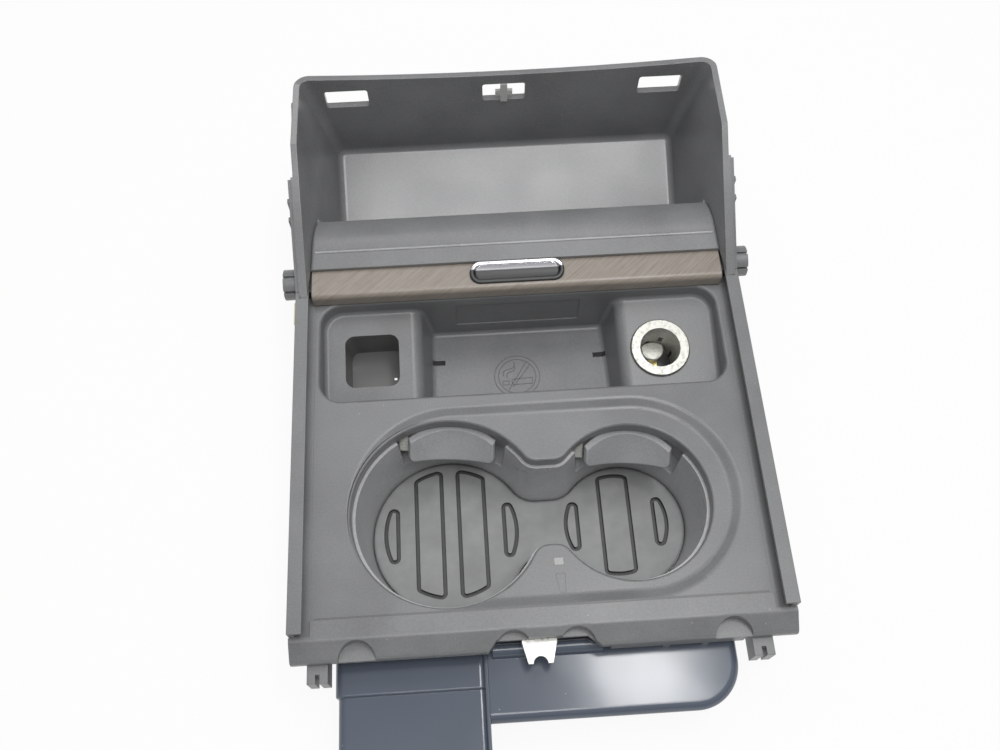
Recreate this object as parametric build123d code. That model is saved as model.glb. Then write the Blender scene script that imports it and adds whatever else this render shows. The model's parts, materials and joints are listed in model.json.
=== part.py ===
from build123d import *
import os
from math import asin, cos, degrees, radians, sin, sqrt, tan

# Centre-console insert: a storage tray, a roller lid, a socket recess and two cup holders.
# Millimetres. X runs to the right, Y towards the storage tray, Z up. The origin is on the
# underside of the cup liner, under the line through both cup centres.

# Whole part
half_width = 114.0         # outer faces of the rails and of the tray's side plates
panel_top = 52.0           # top of the cup panel above the surface it stands on
running_gap = 0.3          # between a moving face and what guides it

# Cup panel
rail_ledge = 9.0           # from the panel's edge to the outer face of a rail
panel_edge = 3.0           # from the left cup's opening to the panel's front
panel_wall = 2.5

# Sunk cup field of the panel, a long slot shape with sloping edges
field_left_shift = 3.5     # from the left cup's axis to the middle of the field's end
field_right_shift = 1.9
field_y = 2.3
field_margin = 4.2         # how much wider the field's ends are than the left cup
field_slope = 4.5
field_depth = 2.5
field_round = 4.0

# Cup openings
left_cup_radius = 46.0
right_cup_radius = 38.5
cup_gap = 3.5              # between the two circles
cup_gap_x = 6.25           # middle of that gap
neck_back = 22.5
neck_front = -19.0
neck_round = 8.0
lip_depth = 7.0
lip_wall = 1.6
lip_round = 1.2

# Recess behind the cups, with a tilted floor at both sides of the ashtray well
recess_margin = 2.5        # from the panel's edge to the recess
recess_gap = 13.0          # from the left cup's opening to the recess
recess_depth = 54.5        # from its front to its back
recess_round = 11.0
recess_wall = 1.8
recess_rim_round = 1.5
recess_foot_round = 2.5
platform_back_depth = 9.0
platform_tilt = 9.5
platform_round = 6.0       # shoulder between a platform and the well
platform_width = 50.5      # from the recess's side to the well
well_depth = 38.0
well_draft = 10.5
well_floor_round = 3.0
well_slot_length = 11.0
well_slot_width = 3.0
well_slot_depth = 7.0
well_slot_rise = 1.5       # how far the slot cuts up into the well's side
well_slot_wall = 1.4
well_slot_setback = 18.0   # from the recess's back
well_slot_inset = 6.0      # from the well's side to the middle of a slot
well_mark_inset = 19.0     # from the well's side to the sunk rectangle on its back wall
well_mark_top = 7.0
well_mark_height = 21.0
well_mark_depth = 0.6

# Empty switch pocket in the left platform
hole_inset = 24.9          # from the recess's left side to the pocket's middle
hole_setback = 26.5        # from the recess's back
hole_size = 28.0
hole_round = 5.0
hole_sleeve_depth = 29.0
hole_sleeve_wall = 1.6
hole_lead_width = 1.6      # opening for a lead in the sleeve's floor
hole_lead_x = 9.5
hole_lead_y = -2.0

# Power socket in the right platform
socket_inset = 29.6        # from the recess's right side to the socket's axis
socket_setback = 28.2      # from the recess's back
socket_bore_radius = 10.5
socket_shell_wall = 1.0
socket_depth = 35.0
socket_flange_radius = 15.0
socket_flange_height = 1.6
socket_fit = 0.1
insulator_height = 6.0
insulator_seat = 0.5       # how much wider the insulator is than the bore
contact_radius = 3.2
contact_height = 4.0
rivet_radius = 1.4

# Light window between the cups
window_x = 9.2
window_y = -27.6
window_width = 4.4
window_length = 3.4
window_fit = 0.05

# Cup liner and mat
liner_wall = 2.0
liner_step = 1.5           # how far the liner stands inside the panel's lip at the top
liner_taper = 4.5          # how much further it closes in at the floor
liner_floor = 2.5
flange_width = 7.0
flange_height = 2.0
mat_height = 3.2
mat_gap = 0.4
mat_groove_width = 2.0
mat_groove_depth = 2.2
mat_margin = 7.0           # from the mat's edge to the raised slats
slat_round = 1.0
sliver_width = 4.2         # of the outermost slats, at their middle
left_slat = (5.3, 16.6)    # from the pattern's middle, on both sides of it
left_slat_shift = (0.2, 2.0)
right_slat = (-6.5, 6.5)
right_slat_shift = (-2.7, 1.6)

# Screws that hold the liner under the panel
boss_radius = 3.4
screw_radius = 1.5
screw_head_radius = 2.8
screw_head_height = 1.8
screw_length = 8.0
screw_offset = 3.8         # from the panel's opening to the screw axis
left_screw_turns = [135.0, 225.0]
right_screw_turns = [22.0, 322.0]

# Cup grips
grip_turn = 5.0            # degrees round the cup, towards the right
grip_half_width = 21.7
grip_length = 15.5         # below the hinge axis
grip_head = 2.0            # above the hinge axis
grip_wall = 2.4
grip_clearance = 1.3       # behind the flap when it stands upright
grip_lean = 48.0           # degrees that the flap leans into the cup at rest
grip_hinge_drop = 14.2     # hinge axis below the panel's top
grip_corner_round = 3.0
grip_edge_round = 0.8
barrel_inset = -1.2        # hinge axis inside the panel's opening, so outside when negative
barrel_radius = 2.2
barrel_half = 8.0
pin_radius = 1.0
pin_fit = 0.05
ear_width = 2.0
pocket_reach = 5.0         # room for the hinge outside the panel's opening
pocket_wall = 1.6
pocket_drop = 33.0
spring_width = 4.5
spring_thickness = 0.6
spring_length = 12.0
spring_lean = 30.0
spring_gap = 0.5           # between the flap's side and the leaf

# Guide rails
rail_wall = 2.5
rail_overrun = 33.7        # past the tray's foot
rail_skirt = 12.0
groove_height = 7.5
rail_lip_width = 6.5

# Front cross bar
bar_overhang = 0.5         # past the outer faces of the rails
bar_depth = 18.0
bar_rise = 2.0
bar_drop = 13.0
bar_nose_drop = 3.0
bar_flat = 9.0             # depth of its level top
bar_lip = 4.0              # height of the front face above its undercut
bar_undercut = 4.5
bar_wall = 2.2
bar_nose_round = 3.0
bar_notch = 7.0            # depth of the notch in each end, for the rail
relief_radius = 8.5
relief_floor = 4.5         # floor of the half-round reliefs below the panel's top
relief_x = [-84.5, -14.2, 14.6, 85.3]
gap_back = 5.0             # how far the front edge is set back round the clip
gap_front_x = [-27.6, 28.4]
gap_back_x = [-21.9, 19.5]
skirt_x = [30.0, 91.0]     # stretch where the front face goes straight down
foot_inset = [11.6, 15.6]  # from the bar's ends to the foot tabs
foot_width = 9.4
foot_top = 8.0             # below the panel's top
foot_height = 13.0
foot_reach = 8.0
foot_slot = 2.0
tooth_x = [56.0, 74.0]
tooth_width = 3.0
tooth_height = 5.0

# Steel latch clip under the bar's front edge
clip_x = -2.5
clip_half = 8.0
clip_tip_half = 5.6
clip_sheet = 1.2
clip_seat = 5.0            # behind the bar's set-back edge
clip_shoulder = 1.0        # in front of that edge
clip_reach = 10.5
clip_drop = 5.0
clip_notch_radius = 3.3

# Storage tray, side view from the foot of its side walls round the pocket
tray_foot_rise = 9.5       # above the panel, also the top of the rails
tray_knee_run = 66.5       # this run and those below start at the foot, over the recess's back
tray_knee_rise = 49.0
tray_top_run = 101.5
tray_top_rise = 56.5
tray_floor_back_run = 105.5
tray_floor_back_drop = 7.5
tray_floor_slope = 28.0
tray_floor_front_run = 58.5
tray_mouth_run = 44.5
tray_side_gap = 3.0        # between the pocket's edge and the side plate
tray_side_lean = 13.0      # how much narrower each side is at the floor
tray_wall = 3.0
side_plate = 3.0
plate_drop = 2.0           # side plate's edge below the pocket's rim
plate_step_run = 52.5
plate_step = 14.0
plate_back_rise = 36.0
plate_back_height = 26.0
plate_rib_run = [36.5, 44.5]
plate_rib_width = 2.4
plate_rib_height = 1.2
plate_rib_low = 8.0        # above the panel
tray_corner_round = 4.0
tray_back_round = 5.0
tray_top_sag = 4.0
slot_inset = [11.0, 13.0]  # from the floor's sides to the outer slots
slot_middle_x = -1.0
slot_width = 22.5
slot_height = 13.0
slot_rise = 32.5
slot_round = 1.5

# Cross-shaped clip in the middle slot
cross_bar = 3.6
cross_arm = 9.0
cross_sheet = 1.6

# Sill cover
sill_front_run = 15.5
sill_front_height = 1.8
sill_crease_run = 27.0
sill_crease_rise = 3.9
sill_back_rise = 2.0
sill_crown = 0.6
sill_end_round = 1.5

# Roller lid: rigid end board and its curtain
lid_side_gap = 1.5         # between the end board and a rail's lip
lid_depth = 23.5
lid_lift = 1.0             # underside above the panel
lid_height = 8.0
veneer = 2.5
lid_nose_round = 3.0
pull_half = 24.5
pull_width = 11.5
pull_setback = 8.7         # from the board's front
pull_wall = 2.4
pull_edge_round = 0.9
pull_back_height = 4.5
pull_front_height = 1.0
pull_cup_height = 0.7
shoe_setback = 4.5         # from the board's front
shoe_length = 18.0
shoe_round = 1.5

# Curtain and its guide
curtain_side_gap = 1.0      # between the curtain and the side plates
curtain_height = 4.0
curtain_film = 0.8
curtain_pitch = 7.0
curtain_slat = 4.8
curtain_lead = 1.5         # flat stretch behind the end board
curtain_gap = 0.8          # to the guide wall
guide_wall = 2.0
bend_top_radius = 14.0
bend_low_radius = 20.0
bend_back_radius = 18.0
run_under_length = 44.0
run_up_length = 23.0

# Pegs on the rails, and the pad on the left rail
peg_radius = 8.0
peg_length = 7.0
peg_setback = 13.0         # behind the tray's foot
peg_rise = 1.5
peg_grooves = 6
peg_groove_width = 1.4
peg_groove_depth = 1.6
pad_length = 12.0
pad_gap = 0.5              # to the tray's foot
pad_low = -2.0
pad_high = 6.0
pad_thickness = 1.2

# Duct body and neck below the bar
duct_left = -26.5
duct_right = 90.0
duct_reach = 47.0          # in front of the panel
duct_under = 2.0           # back under the panel's edge
duct_low = 0.6
duct_high = 34.0
duct_wall = 2.0
duct_draft = 9.0
duct_corner = 22.0
duct_edge_round = 4.0
duct_lug_x = [20.0, 75.0]
duct_lug_width = 12.0
roll_x = [-24.0, 27.0]
roll_reach = 14.5          # in front of the panel
roll_radius = 4.0
neck_left = -95.5
neck_reach = 76.0          # in front of the panel
neck_low = 4.0
neck_high = 31.0
neck_rim_width = 1.6
neck_rim_height = 1.2
collar_reach = 31.0        # in front of the panel
collar_height = 1.3
collar_edge_round = 1.0
neck_lug_x = -62.0

# Derived places
left_cup_x = cup_gap_x - cup_gap / 2 - left_cup_radius
right_cup_x = cup_gap_x + cup_gap / 2 + right_cup_radius
field_left_x = left_cup_x + field_left_shift
field_right_x = right_cup_x + field_right_shift
field_radius = left_cup_radius + field_margin
panel_half = half_width - rail_ledge
panel_front = -left_cup_radius - panel_edge
recess_half = panel_half - recess_margin
recess_front = left_cup_radius + recess_gap
recess_back = recess_front + recess_depth
panel_back = recess_back + recess_margin
hole_x = hole_inset - recess_half
hole_y = recess_back - hole_setback
socket_x = recess_half - socket_inset
socket_y = recess_back - socket_setback
well_half = recess_half - platform_width
well_floor = panel_top - well_depth
well_slot_x = well_half - well_slot_inset
well_slot_y = recess_back - well_slot_setback
well_mark_half = well_half - well_mark_inset
bar_half = half_width + bar_overhang
bar_front = panel_front - bar_depth
bar_break_y = panel_front - bar_flat
rail_front = panel_front - bar_notch
tray_foot_y = recess_back
tray_knee_y = tray_foot_y + tray_knee_run
tray_top_y = tray_foot_y + tray_top_run
tray_floor_back_y = tray_foot_y + tray_floor_back_run
tray_floor_front_y = tray_foot_y + tray_floor_front_run
tray_mouth_y = tray_foot_y + tray_mouth_run
plate_step_y = tray_foot_y + plate_step_run
plate_rib_y = [tray_foot_y + run for run in plate_rib_run]
sill_front_y = tray_foot_y + sill_front_run
sill_crease_y = tray_foot_y + sill_crease_run
rail_back = tray_foot_y + rail_overrun
lid_front = tray_foot_y
lid_back = lid_front + lid_depth
pull_y = lid_front + pull_setback
shoe_front = lid_front + shoe_setback
shoe_back = shoe_front + shoe_length
peg_y = tray_foot_y + peg_setback
pad_back = tray_foot_y - pad_gap
pad_front = pad_back - pad_length
duct_front = panel_front - duct_reach
duct_back = panel_front + duct_under
roll_y = panel_front - roll_reach
neck_duct_front = panel_front - neck_reach
collar_front = panel_front - collar_reach
foot_x = [foot_inset[0] - bar_half, bar_half - foot_inset[1]]
plate_inner = half_width - side_plate
tray_mouth_half = plate_inner - tray_side_gap
tray_floor_half = tray_mouth_half - tray_side_lean
slot_x = [slot_inset[0] - tray_floor_half, slot_middle_x, tray_floor_half - slot_inset[1]]
lid_half = half_width - rail_lip_width - lid_side_gap
curtain_half = plate_inner - curtain_side_gap
relief_bottom = panel_top - relief_floor
gap_y = bar_front + gap_back
field_floor = panel_top - field_depth
lip_end = field_floor - lip_depth
hinge_z = panel_top - grip_hinge_drop
lid_bottom = panel_top + lid_lift
lid_top = lid_bottom + lid_height
rail_top = panel_top + tray_foot_rise
bar_bottom = panel_top - bar_drop
bar_top = panel_top + bar_rise
curtain_z = panel_top + groove_height - running_gap - curtain_height / 2
guide_in = curtain_height / 2 + curtain_gap
guide_out = guide_in + guide_wall
tilt_up = (0, -sin(radians(platform_tilt)), cos(radians(platform_tilt)))


def prism_z(sketch, low, high):
    """A flat outline raised from one height to another."""
    return extrude(Pos(0, 0, low) * sketch, amount=high - low)


def prism_x(face, left, right):
    """A side view, drawn as (y, z), carried from one x to another."""
    return Pos(left, 0, 0) * extrude(Plane.YZ * face, amount=right - left)


def block(x0, x1, y0, y1, z0, z1):
    """A box given by its faces."""
    return Pos((x0 + x1) / 2, (y0 + y1) / 2, (z0 + z1) / 2) * Box(x1 - x0, y1 - y0, z1 - z0)


def polygon(points):
    """A face with straight sides."""
    return make_face(Polyline(*points, close=True))


def both_sides(right_piece):
    """A piece and its mirror image across the middle plane."""
    return right_piece + mirror(right_piece, about=Plane.YZ)


# Cup openings and panel

def cup_outline(grow=0.0):
    """Two circles joined by a straight neck with rounded corners, grown by an offset."""
    neck_height = neck_back - neck_front
    neck_width = right_cup_x - left_cup_x
    neck = Pos((left_cup_x + right_cup_x) / 2, (neck_back + neck_front) / 2) * Rectangle(
        neck_width, neck_height)
    plain = Pos(left_cup_x, 0) * Circle(left_cup_radius) + Pos(right_cup_x, 0) * Circle(
        right_cup_radius) + neck
    corners = [v for v in plain.vertices() if left_cup_x < v.X < right_cup_x]
    outline = fillet(corners, neck_round)
    if grow:
        outline = offset(outline, grow)
    return outline


def field_outline(grow=0.0):
    """The slot shape of the sunk cup field."""
    middle = (field_left_x + field_right_x) / 2
    return Pos(middle, field_y) * SlotCenterToCenter(
        field_right_x - field_left_x, 2 * (field_radius + grow))


def recess_outline(grow=0.0):
    """The rounded rectangle of the recess behind the cups."""
    return Pos(0, (recess_front + recess_back) / 2) * RectangleRounded(
        2 * (recess_half + grow), recess_back - recess_front + 2 * grow, recess_round + grow)


def platform_height(y):
    """Height of the recess's tilted floor at one depth."""
    return panel_top - platform_back_depth - (recess_back - y) * tan(radians(platform_tilt))


def platform_plane(x, y, lift=0.0):
    """A plane on the tilted floor of the recess at one spot."""
    return Plane(origin=(x, y, platform_height(y)), x_dir=(1, 0, 0), z_dir=tilt_up).offset(lift)


def recess_space(grow, drop):
    """The room over both platforms and in the well, or its outer skin when grown and dropped."""
    edge = recess_half + grow
    side = well_half + grow
    narrow = side - well_depth * tan(radians(well_draft))
    profile = polygon([(-edge, well_depth), (-edge, 0), (-side, 0), (-narrow, -well_depth),
                       (narrow, -well_depth), (side, 0), (edge, 0), (edge, well_depth)])
    shoulders = [v for v in profile.vertices() if abs(abs(v.X) - side) < running_gap]
    profile = fillet(shoulders, platform_round - grow)
    front = recess_front - grow
    back = recess_back + grow
    place = Plane(origin=(0, front, platform_height(front) - drop), x_dir=(1, 0, 0), z_dir=(0, -1, 0))
    space = extrude(place * profile, amount=(back - front) / tilt_up[2], dir=(0, tilt_up[2], -tilt_up[1]))
    space = split(space, bisect_by=Plane.XY.offset(panel_top), keep=Keep.BOTTOM)
    space = split(space, bisect_by=Plane.XY.offset(well_floor - drop), keep=Keep.TOP)
    corners = [e for e in space.edges().filter_by(Axis.Z) if abs(e.center().X) > edge - running_gap]
    return fillet(corners, recess_round + grow)


def soft_recess():
    """The recess's room with rounded feet along its walls and round the well's floor."""
    space = recess_space(0.0, 0.0)
    long_edges = [e for e in space.edges() if abs(e.center().Z - well_floor) < running_gap
                  and abs(e.center().X) > well_half / 2]
    space = fillet(long_edges, well_floor_round)
    feet = []
    for wall in space.faces():
        if abs(wall.normal_at().Z) < 1e-4:
            feet += [e for e in wall.edges() if e.center().Z < panel_top - running_gap
                     and abs(e.tangent_at(0.5).Z) < 0.999]
    return fillet(feet, recess_foot_round)


def rounded_cut(cut, outline, low, high, radius):
    """A cutting solid that flares at its rim, so that the edge it leaves is rounded."""
    slab = prism_z(outline, low, high)
    form = slab - cut
    rim = form.faces().sort_by(Axis.Z)[-1].inner_wires()[0].edges()
    return slab - fillet(rim, radius)


def screw_places():
    """Screw axes just outside the cup openings, at the four outer quarters."""
    places = []
    for x, radius, turns in ((left_cup_x, left_cup_radius, left_screw_turns),
                             (right_cup_x, right_cup_radius, right_screw_turns)):
        for turn in turns:
            reach = radius + screw_offset
            places.append((x + reach * cos(radians(turn)), reach * sin(radians(turn))))
    return places


def cup_field():
    """The sunk field as a cutting solid, soft at its rim and at its foot."""
    field = loft([Pos(0, 0, panel_top) * field_outline(),
                  Pos(0, 0, field_floor) * field_outline(-field_slope)], ruled=True)
    field = fillet(field.faces().sort_by(Axis.Z)[0].edges(), field_round)
    return rounded_cut(field, field_outline(field_round), field_floor - panel_wall, panel_top, field_round)


def make_cup_panel():
    """The panel with its sunk cup field, lip, recess, ashtray well and bosses."""
    plan = Pos(0, (panel_front + panel_back) / 2) * Rectangle(
        2 * panel_half, panel_back - panel_front)
    panel = prism_z(plan, panel_top - panel_wall, panel_top)
    panel += prism_z(plan & field_outline(panel_wall), field_floor - panel_wall, panel_top)
    panel += prism_z(plan & cup_outline(lip_wall), lip_end, panel_top)
    for x, y in screw_places():
        panel += Pos(x, y, (lip_end + field_floor) / 2) * Cylinder(
            boss_radius, field_floor - lip_end)
    panel += recess_space(recess_wall, panel_wall)
    sleeve_at = platform_plane(hole_x, hole_y)
    sleeve = RectangleRounded(hole_size + 2 * hole_sleeve_wall, hole_size + 2 * hole_sleeve_wall,
                              hole_round + hole_sleeve_wall)
    panel += extrude(sleeve_at * sleeve, amount=-hole_sleeve_depth - hole_sleeve_wall)
    for side in (-1, 1):
        panel += Pos(side * well_slot_x, well_slot_y, well_floor - well_slot_depth / 2) * Box(
            well_slot_length + 2 * well_slot_wall, well_slot_width + 2 * well_slot_wall, well_slot_depth)

    panel -= cup_field()
    opening = prism_z(cup_outline(), lip_end - lip_round, panel_top)
    panel -= rounded_cut(opening, cup_outline(2 * lip_round), lip_end - lip_round, field_floor, lip_round)
    panel -= prism_z(cup_outline(lip_round), field_floor, panel_top)
    panel -= rounded_cut(soft_recess(), recess_outline(recess_margin), well_floor - panel_wall, panel_top,
                         recess_rim_round)
    panel -= Pos(0, recess_back, panel_top - well_mark_top - well_mark_height / 2) * Box(
        2 * well_mark_half, 2 * well_mark_depth, well_mark_height)
    pocket = sleeve_at.offset(-hole_sleeve_depth) * RectangleRounded(hole_size, hole_size, hole_round)
    panel -= extrude(pocket, amount=2 * hole_sleeve_depth)
    lead = sleeve_at.offset(-hole_sleeve_depth) * Pos(hole_lead_x, hole_lead_y) * Rectangle(
        hole_lead_width, hole_lead_width)
    panel -= extrude(lead, amount=-2 * hole_sleeve_wall)
    socket_hole = Circle(socket_bore_radius + socket_shell_wall + socket_fit)
    panel -= extrude(platform_plane(socket_x, socket_y) * socket_hole, amount=2 * panel_wall,
                     both=True)
    slot_low = well_floor - well_slot_depth + well_slot_wall
    slot_high = well_floor + well_slot_rise
    for side in (-1, 1):
        panel -= Pos(side * well_slot_x, well_slot_y, (slot_low + slot_high) / 2) * Box(
            well_slot_length, well_slot_width, slot_high - slot_low)
    panel -= Pos(window_x, window_y, field_floor) * Box(
        window_width + 2 * window_fit, window_length + 2 * window_fit, 4 * panel_wall)
    for x, y in screw_places():
        panel -= Pos(x, y, lip_end) * Cylinder(screw_radius, 2 * (screw_length - flange_height))
    return panel


def make_light_window():
    """A clear light guide, flush with the cup field."""
    return block(window_x - window_width / 2, window_x + window_width / 2,
                 window_y - window_length / 2, window_y + window_length / 2,
                 field_floor - panel_wall, field_floor)


# Cup liner and mat

def grip_place(cup_x):
    """The frame of a cup's grip: the cup's axis, turned a little to the right."""
    return Pos(cup_x, 0, 0) * Rot(0, 0, -grip_turn)


def sector(inner, outer, half_angle, low, high):
    """A ring sector round the cup's axis, centred on +Y."""
    reach = 2 * outer
    wedge = polygon([(0, 0), (reach * sin(radians(half_angle)), reach * cos(radians(half_angle))),
                     (-reach * sin(radians(half_angle)), reach * cos(radians(half_angle)))])
    ring = (Circle(outer) - Circle(inner)) & wedge
    return prism_z(ring, low, high)


def flap_half_angle(cup_radius):
    """Angle from a flap's middle to its side; both flaps have one width."""
    return degrees(asin(grip_half_width / (cup_radius - grip_clearance)))


def pocket_half_angle(cup_radius):
    """Angle from the middle of a grip's pocket to its side, past the spring."""
    reach = grip_half_width + 2 * spring_gap + spring_width
    return degrees(asin(reach / (cup_radius - spring_gap)))


def grip_axis_y(cup_radius):
    """Distance of the grip's hinge axis from the cup's axis."""
    return cup_radius - barrel_inset


def make_cup_liner():
    """The double cup with its flange, and a closed pocket with hinge ears for each grip."""
    outer_floor = liner_wall - liner_step - liner_taper
    outer = loft([cup_outline(outer_floor), Pos(0, 0, lip_end) * cup_outline(liner_wall - liner_step)],
                 ruled=True)
    inner = loft([Pos(0, 0, liner_floor) * cup_outline(-liner_step - liner_taper),
                  Pos(0, 0, lip_end) * cup_outline(-liner_step)], ruled=True)
    pocket_low = panel_top - pocket_drop
    cups = ((left_cup_x, left_cup_radius), (right_cup_x, right_cup_radius))
    for cup_x, radius in cups:
        wall_angle = degrees(pocket_wall / radius)
        outer += grip_place(cup_x) * sector(
            radius - liner_step - liner_taper, radius + pocket_reach + pocket_wall,
            pocket_half_angle(radius) + wall_angle, pocket_low - pocket_wall, lip_end)
    liner = outer - inner
    ring = cup_outline(flange_width) - cup_outline(-liner_step + liner_wall / 2)
    behind_bar = Pos(0, panel_front + running_gap + panel_half) * Rectangle(
        4 * panel_half, 2 * panel_half)
    liner += prism_z(ring & behind_bar, lip_end - flange_height, lip_end)
    for x, y in screw_places():
        liner -= Pos(x, y, lip_end) * Cylinder(screw_radius, 4 * flange_height)
    for cup_x, radius in cups:
        room = sector(radius - 3 * liner_wall, radius + pocket_reach, pocket_half_angle(radius),
                      pocket_low, panel_top)
        liner -= grip_place(cup_x) * room
        axis_y = grip_axis_y(radius)
        for side in (-1, 1):
            near = side * (barrel_half + running_gap)
            far = side * (barrel_half + running_gap + ear_width)
            arm = block(min(near, far), max(near, far), axis_y, radius + pocket_reach + pocket_wall / 2,
                        hinge_z - barrel_radius, lip_end)
            eye = Pos((near + far) / 2, axis_y, hinge_z) * Rot(0, 90, 0) * Cylinder(
                barrel_radius, ear_width)
            hole = Pos((near + far) / 2, axis_y, hinge_z) * Rot(0, 90, 0) * Cylinder(
                pin_radius, 2 * ear_width)
            liner += grip_place(cup_x) * (arm + eye - hole)
    return liner


def slat_outlines(cup_x, cup_radius, span, shift):
    """Raised slats of one cup's mat: strips of a circle, mirrored about the pattern's middle."""
    reach = cup_radius - liner_step - liner_taper - mat_gap - mat_margin
    strips = []
    for near, far in (span, (reach - sliver_width, reach + sliver_width)):
        sides = (1,) if near < 0 else (1, -1)
        for side in sides:
            middle = side * (near + far) / 2
            strip = Circle(reach) & Pos(middle, 0) * Rectangle(far - near, 4 * reach)
            strips.append(Pos(cup_x + shift[0], shift[1]) * fillet(strip.vertices(), slat_round))
    return strips


def make_cup_mat():
    """One rubber mat for both cups, with grooves round its raised slats."""
    mat = prism_z(cup_outline(-liner_step - liner_taper - mat_gap), liner_floor,
                  liner_floor + mat_height)
    top = liner_floor + mat_height
    slats = slat_outlines(left_cup_x, left_cup_radius, left_slat, left_slat_shift)
    slats += slat_outlines(right_cup_x, right_cup_radius, right_slat, right_slat_shift)
    for slat in slats:
        groove = offset(slat, mat_groove_width) - slat
        mat -= prism_z(groove, top - mat_groove_depth, top + mat_height)
    return mat


def make_screws():
    """Four screws from below through the liner's flange into the panel's bosses."""
    screws = []
    for x, y in screw_places():
        seat = lip_end - flange_height
        shank = Pos(x, y, seat + screw_length / 2) * Cylinder(screw_radius, screw_length)
        head = Pos(x, y, seat - screw_head_height / 2) * Cylinder(screw_head_radius,
                                                                 screw_head_height)
        screws.append(shank + head)
    return Compound(children=screws)


# Cup grips

def make_grip(cup_x, radius):
    """A curved flap with rounded edges on a hinge barrel, leaning into the cup."""
    outer = radius - grip_clearance
    inner = outer - grip_wall
    low = hinge_z - grip_length
    flap = sector(inner, outer, flap_half_angle(radius), low, hinge_z + grip_head)
    corners = [e for e in flap.edges() if e.length < grip_wall + running_gap
               and e.center().Z < low + running_gap]
    flap = fillet(corners, grip_corner_round)
    face = [f for f in flap.faces() if abs(sqrt(f.center().X ** 2 + f.center().Y ** 2) - inner)
            < running_gap][0]
    flap = fillet(face.edges(), grip_edge_round)
    axis_y = grip_axis_y(radius)
    at_hinge = Pos(0, axis_y, hinge_z)
    flap += at_hinge * Rot(0, 90, 0) * Cylinder(barrel_radius, 2 * barrel_half)
    flap += block(-barrel_half, barrel_half, outer - grip_wall / 2, axis_y,
                  hinge_z - barrel_radius, hinge_z + grip_head)
    flap -= at_hinge * Rot(0, 90, 0) * Cylinder(pin_radius + pin_fit, 4 * barrel_half)
    swing = at_hinge * Rot(-grip_lean, 0, 0) * Pos(0, -axis_y, -hinge_z)
    flap = split(swing * flap, bisect_by=Plane.XY.offset(lip_end - 2 * running_gap), keep=Keep.BOTTOM)
    return grip_place(cup_x) * flap


def make_grip_pin(cup_x, radius):
    """The hinge pin, held in the liner's ears."""
    reach = barrel_half + running_gap + ear_width
    return grip_place(cup_x) * Pos(0, grip_axis_y(radius), hinge_z) * Rot(0, 90, 0) * Cylinder(
        pin_radius, 2 * reach)


def make_grip_spring(cup_x, radius):
    """A steel leaf on the left of the flap, hung on the edge of the liner's flange."""
    near = grip_half_width + spring_gap
    far = near + spring_width
    seat = sqrt((radius + pocket_reach) ** 2 - far ** 2) - running_gap
    leaf = block(-far, -near, -spring_thickness, 0, -spring_length, 0)
    leaf = Pos(0, seat, lip_end - spring_thickness) * Rot(-spring_lean, 0, 0) * leaf
    return grip_place(cup_x) * leaf


# Power socket

def make_socket_shell():
    """The metal barrel with its flange on the right platform."""
    at = platform_plane(socket_x, socket_y)
    outer = Circle(socket_bore_radius + socket_shell_wall)
    shell = extrude(at * outer, amount=-socket_depth)
    shell += extrude(at * Circle(socket_flange_radius), amount=socket_flange_height)
    bore = extrude(at.offset(socket_flange_height) * Circle(socket_bore_radius),
                   amount=-socket_depth - socket_flange_height)
    seat = extrude(at.offset(-socket_depth) * Circle(socket_bore_radius + insulator_seat),
                   amount=insulator_height)
    return shell - bore - seat


def make_socket_insulator():
    """The insulating disc that closes the barrel, with a stepped hole for the contact."""
    at = platform_plane(socket_x, socket_y, -socket_depth)
    disc = extrude(at * Circle(socket_bore_radius + insulator_seat), amount=insulator_height)
    return disc - make_socket_contact()


def make_socket_contact():
    """The centre contact on its rivet, flush with the insulator."""
    at = platform_plane(socket_x, socket_y, -socket_depth)
    rivet = extrude(at * Circle(rivet_radius), amount=insulator_height)
    cap = extrude(at.offset(insulator_height) * Circle(contact_radius), amount=-contact_height)
    return rivet + cap


# Rails and front bar

def make_right_rail():
    """A rail with an inward groove for the lid's shoes, a lip above it and a skirt below."""
    groove_x = half_width - rail_wall
    lip_x = half_width - rail_lip_width
    lip_low = panel_top + groove_height
    profile = [(panel_half, panel_top), (groove_x, panel_top), (groove_x, lip_low),
               (lip_x, lip_low), (lip_x, rail_top), (half_width, rail_top),
               (half_width, panel_top - rail_skirt), (groove_x, panel_top - rail_skirt),
               (groove_x, panel_top - panel_wall), (panel_half, panel_top - panel_wall)]
    face = Plane.XZ * polygon(profile)
    return Pos(0, rail_back, 0) * extrude(face, amount=rail_back - rail_front)


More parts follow.
